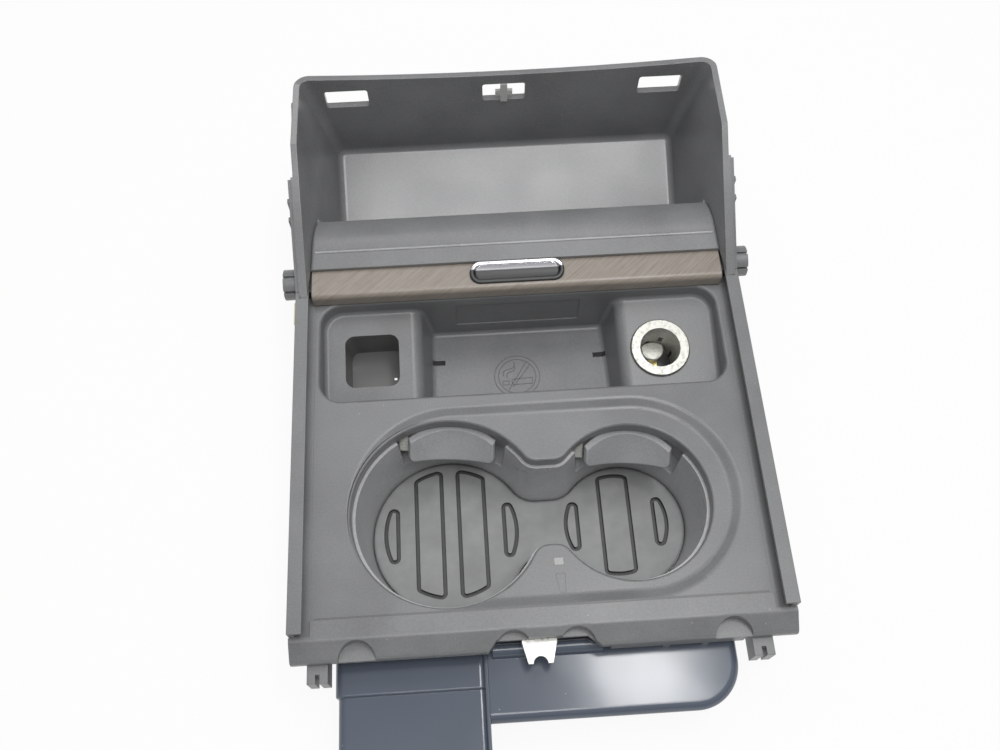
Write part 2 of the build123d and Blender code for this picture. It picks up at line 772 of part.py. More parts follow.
def make_front_bar():
    """A hollow bar, open below, with half-round reliefs, a gap for the clip, foot tabs and teeth."""
    nose = panel_top - bar_nose_drop
    outer = polygon([(panel_front, bar_bottom), (panel_front, bar_top), (bar_break_y, bar_top),
                     (bar_front, nose), (bar_front, nose - bar_lip),
                     (bar_front + bar_undercut, bar_bottom)])
    bends = [v for v in outer.vertices() if v.Y > nose - running_gap and v.X < panel_front - running_gap]
    outer = fillet(bends, bar_nose_round)
    hollow = offset(outer, -bar_wall)
    hollow += Pos(0, -bar_wall) * hollow
    body = prism_x(outer, -bar_half, bar_half)
    bar = body - prism_x(hollow, -bar_half + bar_wall, bar_half - bar_wall)
    for x in relief_x:
        post = Pos(x, bar_front, relief_bottom)
        plug = Pos(0, 0, relief_bottom / 2 - bar_wall) * Cylinder(relief_radius + bar_wall, relief_bottom)
        bar += body & (post * plug)
        bar -= post * Pos(0, 0, relief_bottom / 2) * Cylinder(relief_radius, relief_bottom)
    bar += block(skirt_x[0], skirt_x[1], bar_front, bar_front + bar_wall, bar_bottom, nose - bar_lip / 2)
    gap = polygon([(gap_front_x[0], bar_front - bar_wall), (gap_back_x[0], gap_y),
                   (gap_back_x[1], gap_y), (gap_front_x[1], bar_front - bar_wall)])
    bar -= prism_z(gap, bar_bottom, bar_top)
    notch = block(panel_half, bar_half + bar_wall, panel_front - bar_notch, panel_front,
                  bar_bottom, bar_top)
    bar -= both_sides(notch)
    foot_high = panel_top - foot_top
    for x in foot_x:
        foot = block(x - foot_width / 2, x + foot_width / 2, bar_front - foot_reach,
                     bar_front + bar_undercut, foot_high - foot_height, foot_high)
        foot -= block(x - foot_slot / 2, x + foot_slot / 2, bar_front - foot_reach,
                      bar_front - foot_reach / 2, foot_high - foot_height, foot_high)
        bar += foot
    tooth = polygon([(bar_front, bar_bottom), (bar_front + bar_wall, bar_bottom),
                     (bar_front, bar_bottom - tooth_height)])
    for x in tooth_x:
        bar += prism_x(tooth, x - tooth_width / 2, x + tooth_width / 2)
    return bar


def make_latch_clip():
    """A steel tongue under the bar's set-back edge, with a half-round notch and two folded cheeks."""
    top = relief_bottom - bar_wall
    rear = gap_y + clip_seat
    shoulder = gap_y - clip_shoulder
    tip = gap_y - clip_reach
    outline = polygon([(-clip_half, rear), (clip_half, rear), (clip_half, shoulder),
                       (clip_tip_half, tip), (-clip_tip_half, tip), (-clip_half, shoulder)])
    outline -= Pos(0, tip) * Circle(clip_notch_radius)
    clip = prism_z(outline, top - clip_sheet, top)
    cheek = block(clip_half - clip_sheet, clip_half, shoulder, rear, top - clip_drop, top - clip_sheet)
    return Pos(clip_x, 0, 0) * (clip + both_sides(cheek))


# Storage tray, sill and curtain guide

def tray_points():
    """The pocket in side view: foot, knee, top of the back wall, floor back and front, mouth."""
    floor_drop = (tray_floor_back_y - tray_floor_front_y) * tan(radians(tray_floor_slope))
    floor_back = panel_top - tray_floor_back_drop
    return [(tray_foot_y, rail_top), (tray_knee_y, panel_top + tray_knee_rise),
            (tray_top_y, panel_top + tray_top_rise), (tray_floor_back_y, floor_back),
            (tray_floor_front_y, floor_back - floor_drop), (tray_mouth_y, rail_top)]


def side_draft(shift):
    """The drafted plane of the pocket's right side, through the mouth's edge and the floor."""
    foot, knee, top, floor_back, floor_front, mouth = tray_points()
    start = Vector(tray_mouth_half, *foot)
    along = Vector(tray_mouth_half, *knee) - start
    inward = Vector(tray_floor_half, *floor_back) - start
    outward = inward.cross(along)
    if outward.X < 0:
        outward = -outward
    return Plane(origin=start, x_dir=along, z_dir=outward).offset(shift)


def drafted(face, shift):
    """A side view carried across the part and trimmed by the two drafted sides."""
    whole = prism_x(face, -2 * half_width, 2 * half_width)
    right = side_draft(shift)
    left = Plane(origin=(-right.origin.X, right.origin.Y, right.origin.Z), x_dir=(0, 1, 0),
                 z_dir=(-right.z_dir.X, right.z_dir.Y, right.z_dir.Z))
    whole = split(whole, bisect_by=right, keep=Keep.BOTTOM)
    return split(whole, bisect_by=left, keep=Keep.BOTTOM)


def guide_run(side):
    """The curtain's path behind the top bend, at an offset to the right of its travel."""
    turn = tray_floor_slope
    down_y = lid_back + running_gap + curtain_lead + bend_top_radius
    start_z = curtain_z - bend_top_radius
    low_z = guide_out + bend_low_radius
    low_y = down_y + bend_low_radius
    edges = [Line((down_y - side, start_z), (down_y - side, low_z))]
    edges.append(CenterArc((low_y, low_z), bend_low_radius + side, 180, 90 + turn))
    under = edges[-1] @ 1
    step = Vector(cos(radians(turn)), sin(radians(turn))) * run_under_length
    edges.append(Line(under, under + step))
    side_in = Vector(-sin(radians(turn)), cos(radians(turn))) * (bend_back_radius + side)
    edges.append(CenterArc(under + step + side_in, bend_back_radius + side, 270 + turn, 90 - turn))
    up = edges[-1] @ 1
    edges.append(Line(up, up + Vector(0, run_up_length)))
    return edges


def top_bend(side):
    """The curtain's path from the end board over the top bend, at the same offset."""
    bend_y = lid_back + running_gap + curtain_lead
    flat = Line((lid_back + running_gap, curtain_z - side), (bend_y, curtain_z - side))
    arc = CenterArc((bend_y, curtain_z - bend_top_radius), bend_top_radius - side, 90, -90)
    return [flat, arc]


def band(near, far):
    """The strip between two offsets of a path, each given from start to end."""
    ends = [Line(near[0] @ 0, far[0] @ 0), Line(near[-1] @ 1, far[-1] @ 1)]
    return make_face(near + far + ends)


def make_storage_tray():
    """The pocket, its outer side plates, the edge strip between them and the slotted back."""
    foot, knee, top, floor_back, floor_front, mouth = tray_points()
    back_out = (tray_top_y + tray_wall, top[1])
    above = panel_top + 2 * tray_knee_rise
    lean = (top[0] - floor_back[0]) / (top[1] - floor_back[1])
    room = polygon([foot, (foot[0], above), (top[0] + lean * (above - top[1]), above), floor_back,
                    floor_front, mouth])
    lower = polygon([mouth, knee, top, floor_back, floor_front])
    shell_face = offset(lower, tray_wall, kind=Kind.INTERSECTION)
    shell_face = shell_face & polygon([(mouth[0] - tray_wall, foot[1]), knee, top, back_out,
                                       (floor_back[0] + 2 * tray_wall, floor_back[1]),
                                       (floor_back[0] + 2 * tray_wall, 0), (mouth[0] - tray_wall, 0)])
    rise = (knee[1] - foot[1]) / (knee[0] - foot[0])
    step_z = foot[1] + rise * (plate_step_y - foot[0]) - plate_drop
    flange_z = panel_top + plate_back_rise
    side_face = polygon([(foot[0] + plate_drop / rise, foot[1]), (plate_step_y, step_z),
                         (plate_step_y, step_z - plate_step), (back_out[0], flange_z),
                         (back_out[0], floor_back[1]), mouth])
    guide = guide_run(guide_out)
    start = guide[0] @ 0
    finish = guide[-1] @ 1
    hem = [Line(finish, (back_out[0], finish.Y)), Line((back_out[0], finish.Y), (start.X, rail_top)),
           Line((start.X, rail_top), start)]
    side_face += make_face(guide + hem)
    plate = prism_x(side_face, plate_inner, half_width)
    for y in plate_rib_y:
        rib_top = foot[1] + rise * (y - foot[0]) - 2 * plate_drop
        plate += block(half_width, half_width + plate_rib_height, y - plate_rib_width / 2,
                       y + plate_rib_width / 2, panel_top + plate_rib_low, rib_top)
    strip_face = polygon([foot, knee, top, back_out]) - Pos(tray_wall, -tray_wall) * polygon(
        [foot, knee, (back_out[0] + tray_wall, top[1]), (back_out[0], foot[1] - tray_wall)])
    strip_face = strip_face & polygon([foot, (foot[0], 2 * step_z), (plate_step_y, 2 * step_z),
                                       (plate_step_y, foot[1])])
    strip = prism_x(strip_face, tray_mouth_half - 2 * tray_wall, plate_inner + plate_rib_height)
    tray = drafted(shell_face, tray_wall) + drafted(polygon([foot, knee, top, mouth]), tray_wall)
    back_edges = [e for e in tray.edges() if e.center().Y > tray_top_y + tray_wall / 2
                  and abs(e.center().X) > tray_floor_half and e.length > tray_top_rise / 2]
    tray = fillet(back_edges, tray_back_round + tray_wall)
    tray += both_sides(plate + strip)
    tray += block(-half_width, half_width, tray_top_y, back_out[0], flange_z - plate_back_height, flange_z)
    cavity = drafted(room, 0.0)
    upright = [e for e in cavity.edges() if e.center().Y > tray_top_y - tray_wall
               and abs(e.center().X) > tray_floor_half and e.length > tray_top_rise / 2]
    cavity = fillet(upright, tray_back_round)
    deep_edges = [e for e in cavity.edges() if mouth[0] < e.center().Y - running_gap
                  and e.center().Z < floor_back[1] + tray_corner_round]
    tray -= fillet(deep_edges, tray_corner_round)
    sag_radius = (half_width ** 2 + tray_top_sag ** 2) / (2 * tray_top_sag)
    tray -= Pos(0, tray_top_y, top[1] - tray_top_sag + sag_radius) * Rot(90, 0, 0) * Cylinder(
        sag_radius, 20 * tray_wall)
    for x in slot_x:
        at = Plane(origin=(x, tray_top_y, panel_top + slot_rise + slot_height / 2),
                   x_dir=(1, 0, 0), z_dir=(0, -1, 0))
        slot = RectangleRounded(slot_width, slot_height, slot_round)
        tray -= extrude(at * slot, amount=4 * tray_wall, both=True)
    return tray


def make_slot_clip():
    """A small cross that stands in the middle slot."""
    x = slot_x[1]
    low = panel_top + slot_rise
    y0 = tray_top_y
    clip = block(x - cross_bar / 2, x + cross_bar / 2, y0, y0 + cross_sheet, low, low + slot_height)
    middle = low + slot_height / 2
    return clip + block(x - cross_arm / 2, x + cross_arm / 2, y0, y0 + cross_sheet,
                        middle - cross_bar / 2, middle + cross_bar / 2)


def make_sill_cover():
    """The hump over the curtain's top bend, seated on the pocket's front wall."""
    back = tray_mouth_y
    edge = rail_top + sill_front_height
    crease = (sill_crease_y, rail_top + sill_crease_rise)
    rear = (back, rail_top + sill_back_rise)
    hump = ThreePointArc(crease, ((crease[0] + back) / 2, crease[1] + sill_crown), rear)
    face = make_face([Line((sill_front_y, rail_top), (sill_front_y, edge)),
                      Line((sill_front_y, edge), crease), hump, Line(rear, (back, rail_top)),
                      Line((back, rail_top), (sill_front_y, rail_top))])
    sill = drafted(face, 0.0)
    ends = [e for e in sill.edges() if abs(e.center().X) > tray_floor_half
            and e.center().Z > edge - running_gap]
    return fillet(ends, sill_end_round)


def make_curtain_guide():
    """The wall that leads the curtain down behind the well, under the tray and up its back."""
    face = band(guide_run(guide_in), guide_run(guide_out))
    return prism_x(face, -plate_inner, plate_inner)


def curtain_spots():
    """Points and headings at even steps along the curtain's path."""
    path = top_bend(0.0) + guide_run(0.0)
    total = sum(e.length for e in path)
    count = int((total - curtain_slat) / curtain_pitch)
    spots = []
    for i in range(count + 1):
        left = curtain_slat / 2 + i * curtain_pitch
        for edge in path:
            if left <= edge.length:
                spots.append((edge @ (left / edge.length), edge.tangent_angle_at(left / edge.length)))
                break
            left -= edge.length
    return spots


def make_lid_curtain():
    """Slats on a thin film, laid along the stored path."""
    half = curtain_film / 2
    face = band(top_bend(half) + guide_run(half), top_bend(-half) + guide_run(-half))
    for spot, heading in curtain_spots():
        face += Pos(spot.X, spot.Y) * Rot(0, 0, heading) * Rectangle(curtain_slat, curtain_height)
    return prism_x(face, -curtain_half, curtain_half)


# Lid end board

def make_lid_board():
    """The wood-faced end board: a top and a rounded front in one bent skin."""
    outer = [(lid_front, lid_bottom), (lid_front, lid_top), (lid_back, lid_top),
             (lid_back, lid_top - veneer), (lid_front + veneer, lid_top - veneer),
             (lid_front + veneer, lid_bottom)]
    face = polygon(outer)
    nose = [v for v in face.vertices() if v.X < lid_front + running_gap and v.Y > lid_top - running_gap]
    return prism_x(fillet(nose, lid_nose_round), -lid_half, lid_half)


def make_lid_carrier():
    """The plastic carrier inside the board."""
    return block(-lid_half, lid_half, lid_front + veneer, lid_back, lid_bottom, lid_top - veneer)


def pull_outline(grow=0.0):
    """A long rounded outline on the board."""
    length = 2 * pull_half - pull_width
    return Pos(0, pull_y) * SlotCenterToCenter(length, pull_width + 2 * grow)


def make_lid_pull():
    """The chrome ring, high at the back and low at the front."""
    ring = prism_z(pull_outline() - pull_outline(-pull_wall), lid_top, lid_top + 2 * pull_back_height)
    fall = (pull_back_height - pull_front_height) / pull_width
    front = pull_y - pull_width / 2
    slope = Plane(origin=(0, front, lid_top + pull_front_height), x_dir=(1, 0, 0), z_dir=(0, -fall, 1))
    ring = split(ring, bisect_by=slope, keep=Keep.BOTTOM)
    crown = [f for f in ring.faces() if f.normal_at().Z > 0.5][0]
    return fillet(crown.edges(), pull_edge_round)


def make_pull_cup():
    """The dark finger cup inside the ring."""
    return prism_z(pull_outline(-pull_wall), lid_top, lid_top + pull_cup_height)


def make_right_shoe():
    """A guide shoe in the rail's groove."""
    shoe = block(lid_half, half_width - rail_wall - running_gap, shoe_front, shoe_back,
                 panel_top + running_gap, panel_top + groove_height - running_gap)
    return fillet(shoe.edges().filter_by(Axis.X), shoe_round)


# Pegs, pad and duct

def make_right_peg():
    """A round locating peg with lengthwise grooves."""
    peg = Cylinder(peg_radius, peg_length)
    for i in range(peg_grooves):
        turn = 360 / peg_grooves * i
        peg -= Rot(0, 0, turn) * Pos(peg_radius, 0, 0) * Box(2 * peg_groove_depth, peg_groove_width,
                                                           2 * peg_length)
    place = Pos(half_width + peg_length / 2, peg_y, panel_top + peg_rise)
    return place * Rot(0, 90, 0) * peg


def make_rail_pad():
    """The cream pad on the outer face of the left rail."""
    return block(-half_width - pad_thickness, -half_width, pad_front, pad_back,
                 panel_top + pad_low, panel_top + pad_high)


def duct_form(shrink):
    """The duct's box with one large corner and leaning sides, or its inside when shrunk."""
    far = 2 * duct_corner
    plan = polygon([(duct_left - far, duct_front + shrink), (duct_right - shrink, duct_front + shrink),
                    (duct_right - shrink, duct_back + far), (duct_left - far, duct_back + far)])
    corner = [v for v in plan.vertices() if v.X > 0 and v.Y < bar_front]
    plan = fillet(corner, duct_corner - shrink)
    top = duct_high - shrink
    low = duct_low + shrink
    return extrude(Pos(0, 0, top) * plan, amount=low - top, taper=duct_draft)


def make_duct_body():
    """A blow-moulded box with soft edges, open towards the neck, and a roll along its top."""
    outer = duct_form(0.0)
    rims = [e for e in outer.edges() if abs(e.center().Z - (duct_low + duct_high) / 2) > duct_wall
            and (e.center().Y < bar_front or e.center().X > duct_right / 2)
            and e.center().Y < duct_back]
    outer = fillet(rims, duct_edge_round)
    outer = outer & block(duct_left, duct_right, duct_front, duct_back, duct_low, duct_high)
    inner = duct_form(duct_wall) & block(duct_left - duct_wall, duct_right, duct_front,
                                         duct_back - duct_wall, duct_low, duct_high)
    body = outer - inner
    body += Pos((roll_x[0] + roll_x[1]) / 2, roll_y, duct_high) * (
        Rot(0, 90, 0) * Cylinder(roll_radius, roll_x[1] - roll_x[0])
        & Pos(0, 0, roll_radius / 2 - duct_wall / 4) * Box(
            2 * (roll_x[1] - roll_x[0]), 4 * roll_radius, roll_radius + duct_wall / 2))
    for x in duct_lug_x:
        body += block(x - duct_lug_width / 2, x + duct_lug_width / 2, panel_front - bar_wall,
                      duct_back, duct_high - duct_wall, bar_bottom)
    return body


def make_duct_neck():
    """The flat neck beside the body, with a raised collar, a rim and an open front end."""
    right = duct_left
    neck = block(neck_left, right, neck_duct_front, duct_back, neck_low, neck_high)
    neck = fillet(neck.edges().filter_by(Axis.Y), duct_edge_round)
    collar = block(neck_left - collar_height, right, collar_front, duct_back - duct_wall,
                   neck_low - collar_height, neck_high + collar_height)
    collar = fillet(collar.edges().filter_by(Axis.Y), duct_edge_round)
    neck += fillet(collar.faces().sort_by(Axis.Y)[0].edges(), collar_edge_round)
    neck += block(right - neck_rim_width, right, neck_duct_front, duct_back - duct_wall,
                  neck_high - duct_edge_round, neck_high + neck_rim_height + collar_height)
    room = block(neck_left + duct_wall, right - duct_wall, neck_duct_front - duct_wall,
                 duct_back - duct_wall, neck_low + duct_wall, neck_high - duct_wall)
    neck -= fillet(room.edges().filter_by(Axis.Y), duct_edge_round - duct_wall)
    neck -= block(right - 2 * duct_wall, right + duct_wall, duct_front + 2 * duct_corner / 3,
                  duct_back - 2 * duct_wall, neck_low + 2 * duct_wall, neck_high - 2 * duct_wall)
    return neck + block(neck_lug_x - duct_lug_width / 2, neck_lug_x + duct_lug_width / 2,
                        panel_front - bar_wall, duct_back, neck_high - duct_wall, bar_bottom)


def main():
    """Build each piece and write it to its own file."""
    right_rail = make_right_rail()
    right_shoe = make_right_shoe()
    right_peg = make_right_peg()
    pieces = {
        "cup_panel": make_cup_panel(),
        "light_window": make_light_window(),
        "cup_liner": make_cup_liner(),
        "cup_mat": make_cup_mat(),
        "liner_screws": make_screws(),
        "left_grip": make_grip(left_cup_x, left_cup_radius),
        "right_grip": make_grip(right_cup_x, right_cup_radius),
        "left_grip_pin": make_grip_pin(left_cup_x, left_cup_radius),
        "right_grip_pin": make_grip_pin(right_cup_x, right_cup_radius),
        "left_grip_spring": make_grip_spring(left_cup_x, left_cup_radius),
        "right_grip_spring": make_grip_spring(right_cup_x, right_cup_radius),
        "socket_shell": make_socket_shell(),
        "socket_insulator": make_socket_insulator(),
        "socket_contact": make_socket_contact(),
        "left_rail": mirror(right_rail, about=Plane.YZ),
        "right_rail": right_rail,
        "front_bar": make_front_bar(),
        "latch_clip": make_latch_clip(),
        "storage_tray": make_storage_tray(),
        "slot_clip": make_slot_clip(),
        "sill_cover": make_sill_cover(),
        "curtain_guide": make_curtain_guide(),
        "lid_curtain": make_lid_curtain(),
        "lid_board": make_lid_board(),
        "lid_carrier": make_lid_carrier(),
        "lid_pull": make_lid_pull(),
        "pull_cup": make_pull_cup(),
        "left_shoe": mirror(right_shoe, about=Plane.YZ),
        "right_shoe": right_shoe,
        "left_peg": mirror(right_peg, about=Plane.YZ),
        "right_peg": right_peg,
        "rail_pad": make_rail_pad(),
        "duct_body": make_duct_body(),
        "duct_neck": make_duct_neck(),
    }
    os.makedirs("parts", exist_ok=True)
    for name, shape in pieces.items():
        export_step(shape, "parts/" + name + ".step")


main()
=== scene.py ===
import json
from math import cos, radians, sin

import bpy
import numpy as np
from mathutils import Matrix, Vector


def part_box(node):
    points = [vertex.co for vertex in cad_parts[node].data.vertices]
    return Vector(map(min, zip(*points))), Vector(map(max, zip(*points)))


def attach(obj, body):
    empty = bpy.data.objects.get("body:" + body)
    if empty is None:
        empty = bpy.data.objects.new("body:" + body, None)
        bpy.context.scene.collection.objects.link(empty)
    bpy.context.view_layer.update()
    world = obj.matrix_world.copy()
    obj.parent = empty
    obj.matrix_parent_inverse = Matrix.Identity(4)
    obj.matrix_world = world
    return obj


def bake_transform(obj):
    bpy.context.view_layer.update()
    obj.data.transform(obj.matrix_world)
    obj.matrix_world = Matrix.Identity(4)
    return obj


# A console insert with two sprung cup holders, a socket recess, a roller lid and a storage tray.
# Metres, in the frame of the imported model: X to the right, Y towards the tray, Z up.

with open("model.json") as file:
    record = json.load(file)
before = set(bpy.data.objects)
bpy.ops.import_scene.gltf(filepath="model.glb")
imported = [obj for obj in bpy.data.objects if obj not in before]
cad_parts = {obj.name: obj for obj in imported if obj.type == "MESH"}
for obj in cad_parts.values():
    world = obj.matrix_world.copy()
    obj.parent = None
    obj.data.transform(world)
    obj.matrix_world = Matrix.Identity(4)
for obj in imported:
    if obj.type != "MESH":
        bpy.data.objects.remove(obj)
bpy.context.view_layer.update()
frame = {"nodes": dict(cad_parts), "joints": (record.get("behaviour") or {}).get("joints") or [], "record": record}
NODES = frame["nodes"]
JOINTS = {joint["name"]: joint for joint in frame["joints"]}
MOUNTS = {mount["name"]: mount for mount in frame["record"]["mounts"]}
MM = 0.001
# How far a thin piece is set into the one that carries it
SEATED = 0.05 * MM

# Camera, from the photograph's vanishing lines
CAMERA_PLACE = (-0.0257, -0.1471, 0.5058)
CAMERA_AIM = (-0.0122, 0.0684, 0.052)
CAMERA_LENS = 36.0
CAMERA_SENSOR = 36.0
CAMERA_NEAR = 0.01

# Lamps: name, place, width, depth and power in watts
LAMPS = [
    ("side_softbox", (0.46, 0.25, 0.95), 0.4, 0.4, 0.3),
    ("back_softbox", (-0.1, 0.46, 0.9), 0.5, 0.3, 1.4),
    ("front_softbox", (0.06, -0.18, 1.1), 0.6, 0.24, 3.3),
    ("strip_lamp", (0.21, 0.13, 1.2), 0.24, 0.14, 2.3),
]

# Studio air: dim to the sides, brighter towards a direction overhead, pale walls at the horizon
AIR_DIRECTION = (0.0, 0.1, 0.995)
AIR_LEAN = (0.2, 1.0)
AIR_DIM = 0.12
AIR_BRIGHT = 0.6
WALL_GLOW = 1.0
WALL_LOW = 0.1
WALL_HIGH = 0.22
FLOOR_HALF = 40.0
FLOOR_GLOW = 0.92

# Colours, as sRGB hex values
CHARCOAL = "#7b7c7d"
TRAY_GREY = "#808182"
# The grips are the charcoal plastic drawn paler: painted light against the shade under the cup lips
GRIP_LIGHTENED_GREY = "#9b9c9e"
# A paler grey for the sill's crease: a painted highlight
CREASE_HIGHLIGHT_GREY = "#a9aaac"
# The liner is the charcoal plastic drawn paler: painted light against the shade inside the cups
LINER_LIGHTENED_GREY = "#b5b6b7"
RUBBER_GREY = "#8f9090"
WOOD_LIGHT = "#9b938a"
WOOD_DARK = "#8d8378"
PORE_DARK = "#57493c"
FOIL_BROWN = "#5f544a"
CHROME_TINT = "#ecebf0"
STEEL_TINT = "#e6e5df"
ZINC_TINT = "#c6c6bf"
FILM_TINT = "#9a937f"
BRASS_TINT = "#cbb878"
CLIP_GREY = "#bdbdbb"
CREAM = "#faf0cf"
DUCT_BLUE = "#59616e"
BLACK = "#2c2d2e"
# Painted shade inside the empty switch seat
POCKET_SHADE = "#6e6f6d"
SIGN_GREY = "#6a6b6c"
DUST = "#d9d8d0"
FROST = "#a9aaa8"
FLOOR_WHITE = "#f2f2f0"


def linear(code):
    """An sRGB hex colour as linear RGBA."""
    parts = np.array([int(code[i:i + 2], 16) for i in (1, 3, 5)]) / 255
    low = parts / 12.92
    high = ((parts + 0.055) / 1.055) ** 2.4
    return (*np.where(parts <= 0.04045, low, high).tolist(), 1.0)


def put(tree, kind, inputs=None, **settings):
    """Adds a node, sets its properties, and fills its inputs with values or links."""
    made = tree.nodes.new("ShaderNode" + kind)
    for name, value in settings.items():
        setattr(made, name, value)
    for name, value in (inputs or {}).items():
        if isinstance(value, bpy.types.NodeSocket):
            tree.links.new(value, made.inputs[name])
        else:
            made.inputs[name].default_value = value
    return made


def blank(name):
    """A material with an empty node tree, and its object coordinates."""
    material = bpy.data.materials.new(name)
    material.use_nodes = True
    tree = material.node_tree
    tree.nodes.clear()
    place = put(tree, "TexCoord").outputs["Object"]
    return material, tree, place


def close(tree, shader):
    """Joins a shader to the material's surface."""
    put(tree, "OutputMaterial", {"Surface": shader.outputs[0]})


def scale_of(size_mm):
    """A texture scale that gives features of a size in millimetres."""
    return 1 / (size_mm * MM)


def shades(code, dark, light):
    """Two linear colours, a darker and a lighter share of one hex colour."""
    base = np.array(linear(code)[:3])
    return (*(base * dark).tolist(), 1.0), (*(base * light).tolist(), 1.0)


# Moulded plastic: sizes in millimetres, spans of texture values, and shades as shares of the colour
PLASTIC_CLOUD_MM = 30
PLASTIC_GRAIN_HEIGHT = 0.03 * MM
PLASTIC_GRAIN_SHARE = 0.45
MOTTLE_SPAN = (0.36, 0.64)
MOTTLE_SHADES = (0.86, 1.14)
MOTE_GAP_MM = 12
MOTE_SPAN = (0.016, 0.032)
EDGE_TURN = (0.98, 0.8)
SHEEN_SPAN = (0.25, 0.75)
SHEEN_SWING = (-0.06, 0.07)
PLASTIC_IOR = 1.54


def moulded_plastic(name, colour, roughness, grain_mm=0.8, dust=0.45, wear_and_highlight=0.3, edge_mm=0.5,
                    pocket=None):
    """ABS from a spark-eroded mould: a fine matt grain under an uneven sheen that handling has
    polished, edges paler from wear and from a painted highlight, and motes of dust. A pocket, given as a
    mount and its half width, is darkened inside with painted shade."""
    material, tree, place = blank(name)
    cloud = put(tree, "TexNoise", {"Vector": place, "Scale": scale_of(PLASTIC_CLOUD_MM), "Detail": 4.0})
    # The real grain is about 0.2 mm, drawn coarser here so that it shows
    grain = put(tree, "TexNoise", {"Vector": place, "Scale": scale_of(grain_mm), "Detail": 2.0})
    mottle = put(tree, "Mix", {0: PLASTIC_GRAIN_SHARE, 2: cloud.outputs["Fac"], 3: grain.outputs["Fac"]})
    tone = put(tree, "ValToRGB", {"Fac": mottle.outputs[0]})
    low, high = tone.color_ramp.elements
    low.position, high.position = MOTTLE_SPAN
    low.color, high.color = shades(colour, *MOTTLE_SHADES)
    speck = put(tree, "TexVoronoi", {"Vector": place, "Scale": scale_of(MOTE_GAP_MM)})
    mote = put(tree, "MapRange", {"Value": speck.outputs["Distance"], "From Min": MOTE_SPAN[0],
                                  "From Max": MOTE_SPAN[1], "To Min": dust, "To Max": 0.0})
    dusty = put(tree, "Mix", {0: mote.outputs[0], 6: tone.outputs["Color"], 7: linear(DUST)},
                data_type="RGBA")
    rounded = put(tree, "Bevel", {"Radius": edge_mm * MM}, samples=6)
    flat = put(tree, "NewGeometry")
    turn = put(tree, "VectorMath", {0: rounded.outputs[0], 1: flat.outputs["Normal"]},
               operation="DOT_PRODUCT")
    # Edges paler: partly wear, partly a painted highlight on the rounded edges
    edge_paling = put(tree, "MapRange", {"Value": turn.outputs["Value"], "From Min": EDGE_TURN[0],
                                 "From Max": EDGE_TURN[1], "To Min": 0.0, "To Max": wear_and_highlight})
    edge_paled = put(tree, "Mix", {0: edge_paling.outputs[0], 6: dusty.outputs[2], 7: linear(DUST)}, data_type="RGBA")
    paint = edge_paled.outputs[2]
    # Painted shade: the colour inside the switch pocket is darkened
    if pocket:
        paint = paint_pocket_shade(tree, place, paint, *pocket)
    bump = put(tree, "Bump", {"Height": grain.outputs["Fac"], "Distance": PLASTIC_GRAIN_HEIGHT,
                              "Strength": 0.6, "Normal": rounded.outputs[0]})
    sheen = put(tree, "MapRange", {"Value": cloud.outputs["Fac"], "From Min": SHEEN_SPAN[0],
                                   "From Max": SHEEN_SPAN[1], "To Min": roughness + SHEEN_SWING[0],
                                   "To Max": roughness + SHEEN_SWING[1]})
    close(tree, put(tree, "BsdfPrincipled", {"Base Color": paint, "Roughness": sheen.outputs[0],
                                             "IOR": PLASTIC_IOR, "Normal": bump.outputs["Normal"]}))
    return material


# A pocket's painted shade begins and is full at these heights over its mouth
POCKET_BEGINS = -0.6 * MM
POCKET_FULL = -2.5 * MM


def paint_pocket_shade(tree, place, paint, mount, half):
    """Paints shade into a square pocket, darkening its colour: within its half width of the mount's axis, and
    below its mouth.
    """
    axis = np.array(mount["axis"])
    across = np.cross(axis, (1.0, 0.0, 0.0))
    shift = put(tree, "VectorMath", {0: place, 1: tuple(mount["pos_m"])}, operation="SUBTRACT")
    near = []
    for direction in ((1.0, 0.0, 0.0), tuple(across)):
        run = put(tree, "VectorMath", {0: shift.outputs[0], 1: direction}, operation="DOT_PRODUCT")
        size = put(tree, "Math", {0: run.outputs["Value"]}, operation="ABSOLUTE")
        near.append(put(tree, "Math", {0: size.outputs[0], 1: half}, operation="LESS_THAN").outputs[0])
    inside = put(tree, "Math", {0: near[0], 1: near[1]}, operation="MULTIPLY")
    depth = put(tree, "VectorMath", {0: shift.outputs[0], 1: tuple(axis)}, operation="DOT_PRODUCT")
    below = put(tree, "MapRange", {"Value": depth.outputs["Value"], "From Min": POCKET_BEGINS,
                                   "From Max": POCKET_FULL})
    share = put(tree, "Math", {0: inside.outputs[0], 1: below.outputs[0]}, operation="MULTIPLY")
    return put(tree, "Mix", {0: share.outputs[0], 6: paint, 7: linear(POCKET_SHADE)},
               data_type="RGBA").outputs[2]


# Rubber mat: the pits are really under 0.1 mm, drawn coarser so that they show. Painted shade lies where walls
# stand within its reach, and fades over a span of open air
BLOOM_MM = 11
PIT_MM = 0.6
PIT_DEPTH = 0.04 * MM
RUBBER_EDGE = 0.5 * MM
SHADE_REACH = 2.5 * MM
SHADE_SPAN = (0.55, 0.94)
SHADE_DARK = 0.92


